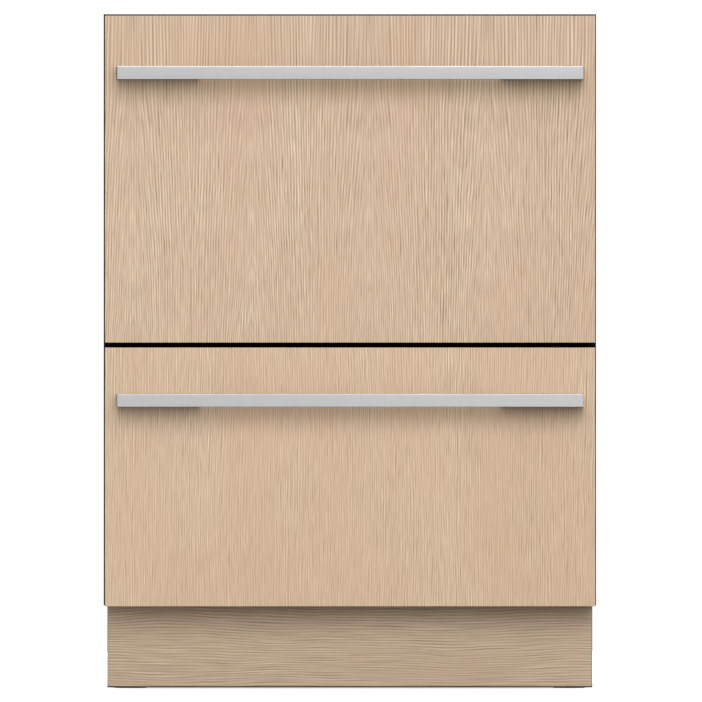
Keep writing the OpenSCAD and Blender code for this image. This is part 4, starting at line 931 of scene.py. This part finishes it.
class Oak(Finish):
    """Lacquered oak whose colour runs from the dark of a growth line to the pale wood between."""

    def __init__(self, name, dark, pale, blush):
        super().__init__(name)
        self.dark, self.pale, self.blush = dark, pale, blush
        self.x, self.y, self.z = self.axes()

    def grain(self, x, y, z, detail=2.0, roughness=0.5):
        """Noise from -0.5 to 0.5. A reading times 420 gives about 420 specks in a metre."""
        where = self.node("ShaderNodeCombineXYZ", None, {"X": x, "Y": y, "Z": z})
        return self.noise(where, 1.0, detail, roughness) - 0.5

    def patches(self, x, y, z, least, most):
        """A strength that comes and goes in patches, between two values."""
        return self.span(self.grain(x, y, z, 1.0), -0.16, 0.16, least, most)

    def pores(self, x, y, z):
        """1 in the wood's pores and 0 between them."""
        return self.span(self.grain(x, y, z), 0.10, 0.22)

    def wave(self, length):
        """From -1 to 1 and back, once in the width of a growth line."""
        return self.math("COSINE", length * (2 * math.pi / GROWTH_LINE))

    def inside(self, node, ends, under=None, over=None):
        """0 in painted shade, dark lines of these widths by the face's ends, foot and top; 1 on the
        rest.
        """
        low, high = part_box(node)
        end, back = high.x - ends, low.y + EDGE_DEPTH
        within = self.span((self.x * self.x) ** 0.5, end, end - EDGE_FADE)
        if under is not None:
            within = within * self.span(self.z, low.z + under, low.z + under + FOOT_FADE)
        if over is not None:
            within = within * self.span(self.z, high.z - over, high.z - over - EDGE_FADE)
        behind = self.span(self.y, back, back + FOOT_FADE)
        return self.math("MAXIMUM", within, behind)

    def lacquer(self, tone, warmth, pores, inside):
        """The finished look: the wood's tone, a warmer blush in places, the pores' relief, and painted
        shade lines.
        """
        wood = self.blend(self.span(tone, -1.0, 1.0), self.dark, self.pale)
        wood = self.blend(self.span(warmth, -0.12, 0.16, 0.0, 0.42), wood, self.blush)
        # Near black where the painted shade lines run
        return self.show(
            Base_Color=self.blend(inside, (0.006, 0.005, 0.004), wood),
            Roughness=self.span(tone, -1.0, 1.0, 0.58, 0.48),
            Normal=self.relief(tone * 0.4 - pores, 0.00006, 0.35))


LEAF, LEAF_MIDDLE, CORE, CROWN_W, CROWN_Z = 0.1435, -0.2652, 0.004, 0.030, 0.62
FOOT_Z, ARCH_TOP, TOP_Z = 0.42, 0.72, 0.82


def upper_oak():
    f = Oak("oak_upper", tint(160, 130, 99), tint(251, 226, 196), tint(214, 180, 152))
    across = (f.x - (LEAF_MIDDLE - LEAF / 2)) / LEAF
    number = f.math("FLOOR", across)
    off = (across - number - 0.5) * LEAF
    off = off + f.grain(off * 9.0, number * 0.35, f.z * 3.0) * 0.012
    ring = (off * off + CORE * CORE) ** 0.5
    clear = f.span(ring, 0.005, 0.022, 0.18, 1.0)
    # The arches die out above the handle, where the lines run straight and unbroken for longer
    rise = f.span(f.z, FOOT_Z, ARCH_TOP, FOOT_Z, ARCH_TOP) + f.span(f.z, ARCH_TOP, TOP_Z, 0.0, 0.03)
    crown = 1 / (1 + (off * off) / (CROWN_W * CROWN_W))
    ring = ring + (rise - CROWN_Z) * 0.09 * crown + f.grain(off * 60.0, number * 0.2, rise * 9.0) * 0.004
    ring = ring + f.grain(ring * 420.0, number * 3.0, rise * 26.0) * 0.0022
    firm = f.patches(ring * 150.0, number * 5.0, rise * 32.0, 0.3, 1.2)
    # The middle of a leaf has short straight lines of its own
    straight = f.x * 1.12 + f.grain(f.x * 100.0, 4.0, f.z * 13.0) * 0.005
    keen = f.patches(f.x * 190.0, 6.0, f.z * 28.0, 0.2, 1.0)
    streak = f.grain(ring * 420.0, f.y * 420.0, rise * 34.0, 1.0, 0.6)
    broad = f.grain(f.x * 14.0, 5.0, f.z * 2.0)
    pores = f.pores(ring * 1700.0, f.y * 1500.0, f.z * 80.0)
    tone = (f.wave(ring) * firm * clear * f.span(f.z, 0.66, 0.76, 0.66, 0.64)
            + f.wave(straight) * keen * (1.18 - clear) * 0.62 + streak * 1.1 + broad * 0.3
            - pores * 0.20 - f.x * 0.28 - f.span(f.z, 0.66, 0.80, 0.0, 0.14))
    # Painted shade: thin dark lines along the front's ends, and a wider one along its top
    return f.lacquer(tone, f.grain(f.x * 11.0, 2.0, f.z * 3.0), pores,
                     f.inside("upper_front_panel", ends=0.0002, over=0.0012))


def lower_oak():
    f = Oak("oak_lower", tint(166, 134, 100), tint(252, 226, 196), tint(216, 180, 149))
    bent = f.x + f.grain(f.x * 5.0, 3.0, f.z * 2.5) * 0.016 + f.grain(f.x * 90.0, 7.0, f.z * 7.0) * 0.004
    # The lines are fainter below the handle than above it
    calm = f.span(f.z, 0.33, 0.39, 0.55, 1.0)
    firm = f.patches(bent * 180.0, 5.0, f.z * 34.0, 0.0, 1.0)
    fine = bent * 1.26 + f.grain(bent * 130.0, 9.0, f.z * 17.0) * 0.005
    keen = f.patches(bent * 210.0, 2.0, f.z * 32.0, 0.0, 1.0)
    streak = f.grain(bent * 370.0, f.y * 430.0, f.z * 36.0, 1.0, 0.6)
    broad = f.grain(f.x * 16.0, 9.0, f.z * 2.5)
    pores = f.pores(f.x * 1700.0, f.y * 1500.0, f.z * 80.0)
    tone = (f.wave(bent) * calm * firm * 0.52 + f.wave(fine) * keen * 0.54 + streak * 0.8
            + broad * 0.32 - pores * 0.16 - f.x * 0.30)
    # Painted shade: thin dark lines along the front's ends and its foot
    return f.lacquer(tone, f.grain(f.x * 13.0, 6.0, f.z * 3.5), pores,
                     f.inside("lower_front_panel", ends=0.0002, under=0.0))


board("upper_front_panel", BOARD_ARRIS, upper_oak())
board("lower_front_panel", BOARD_ARRIS, lower_oak())


# ---- Bar handles -----------------------------
# Each is one satin steel bar, brushed along its length, that returns to the front in a long
# post at each end. Of the posts only the shadows show from in front.
def brushed_steel(name, left, foot):
    """Brushed along its length. Painted shade darkens its underside and left end; painted light pales
    its right.
    """
    f = Finish(name, Metallic=1.0)
    x, _, z = f.axes()
    # Painted shade: the lowest arris and the left end's arris are near black
    unshaded_steel = f.span(x, left + 0.0004, left + 0.0010) * f.span(z, foot + 0.0002, foot + 0.0005)
    fine = f.noise(f.place((0.012, 1, 1)), 2600.0, 3.0, 0.6)
    coarse = f.noise(f.place((0.02, 1, 1)), 420.0, 2.0)
    hair = fine * 0.6 + coarse * 0.4
    # Painted light: the steel's colour pales towards its right end
    return f.show(
        Base_Color=f.blend(unshaded_steel, (0.02, 0.019, 0.018), f.blend(
            f.span(hair - x * 0.25, 0.3, 0.7), (0.54, 0.535, 0.54), (0.425, 0.425, 0.435))),
        Roughness=f.span(hair, 0.3, 0.7, 0.28, 0.40),
        Normal=f.relief(hair, 0.00002, 0.5))


BAR_T, POST_L, BAR_ARRIS = 0.008, 0.100, 0.0009
for drawer in ("upper", "lower"):
    low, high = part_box(drawer + "_handle")
    plan = [(low.x, low.y), (high.x, low.y), (high.x, high.y), (high.x - POST_L, high.y),
            (high.x - POST_L, low.y + BAR_T), (low.x + POST_L, low.y + BAR_T),
            (low.x + POST_L, high.y), (low.x, high.y)]
    work = bmesh.new()
    foot = work.faces.new([work.verts.new((x, y, low.z)) for x, y in plan])
    raised = bmesh.ops.extrude_face_region(work, geom=[foot])["geom"]
    top = [part for part in raised if isinstance(part, bmesh.types.BMVert)]
    bmesh.ops.translate(work, verts=top, vec=(0, 0, high.z - low.z))
    bmesh.ops.recalc_face_normals(work, faces=work.faces)
    bmesh.ops.bevel(work, geom=work.edges[:], offset=BAR_ARRIS, segments=3, profile=0.5, affect="EDGES")
    bar = link(drawer + "_bar_handle", mesh_of(drawer + "_handle", work, 50),
               brushed_steel(drawer + "_brushed_steel", low.x, low.z))
    bar.modifiers.new("level", "WEIGHTED_NORMAL")
    settled(bar)
    stands_for(bar, drawer + "_handle")


# ---- Toe kick --------------------------------
# A plinth board of the same oak, a little darker and with the grain laid along it. It stands
# back under the fronts and is screwed to the tray's flange.
def kick_oak():
    f = Oak("oak_kick", tint(134, 110, 84), tint(220, 196, 167), tint(190, 162, 136))
    sway = f.grain(f.x * 3.2, 1.0, f.z * 7.0) * 0.030 + f.grain(f.x * 16.0, 2.0, f.z * 40.0) * 0.004
    level = f.z + sway
    firm = f.patches(f.x * 15.0, 3.0, level * 170.0, 0.0, 1.1)
    streak = f.grain(f.x * 15.0, f.y * 400.0, level * 800.0, 3.0, 0.6)
    broad = f.grain(f.x * 3.0, 4.0, f.z * 20.0)
    pores = f.pores(f.x * 60.0, f.y * 1500.0, level * 1700.0)
    tone = f.wave(level) * firm * 0.65 + streak * 2.6 + broad * 0.35 - pores * 0.16 + 0.18
    # Painted shade: dark lines along the kick's ends, and a wider one at its foot for its contact shadow
    return f.lacquer(tone, f.grain(f.x * 4.0, 8.0, f.z * 12.0), pores,
                     f.inside("toe_kick", ends=0.0006, under=0.0015))


board("toe_kick", KICK_ARRIS, kick_oak())
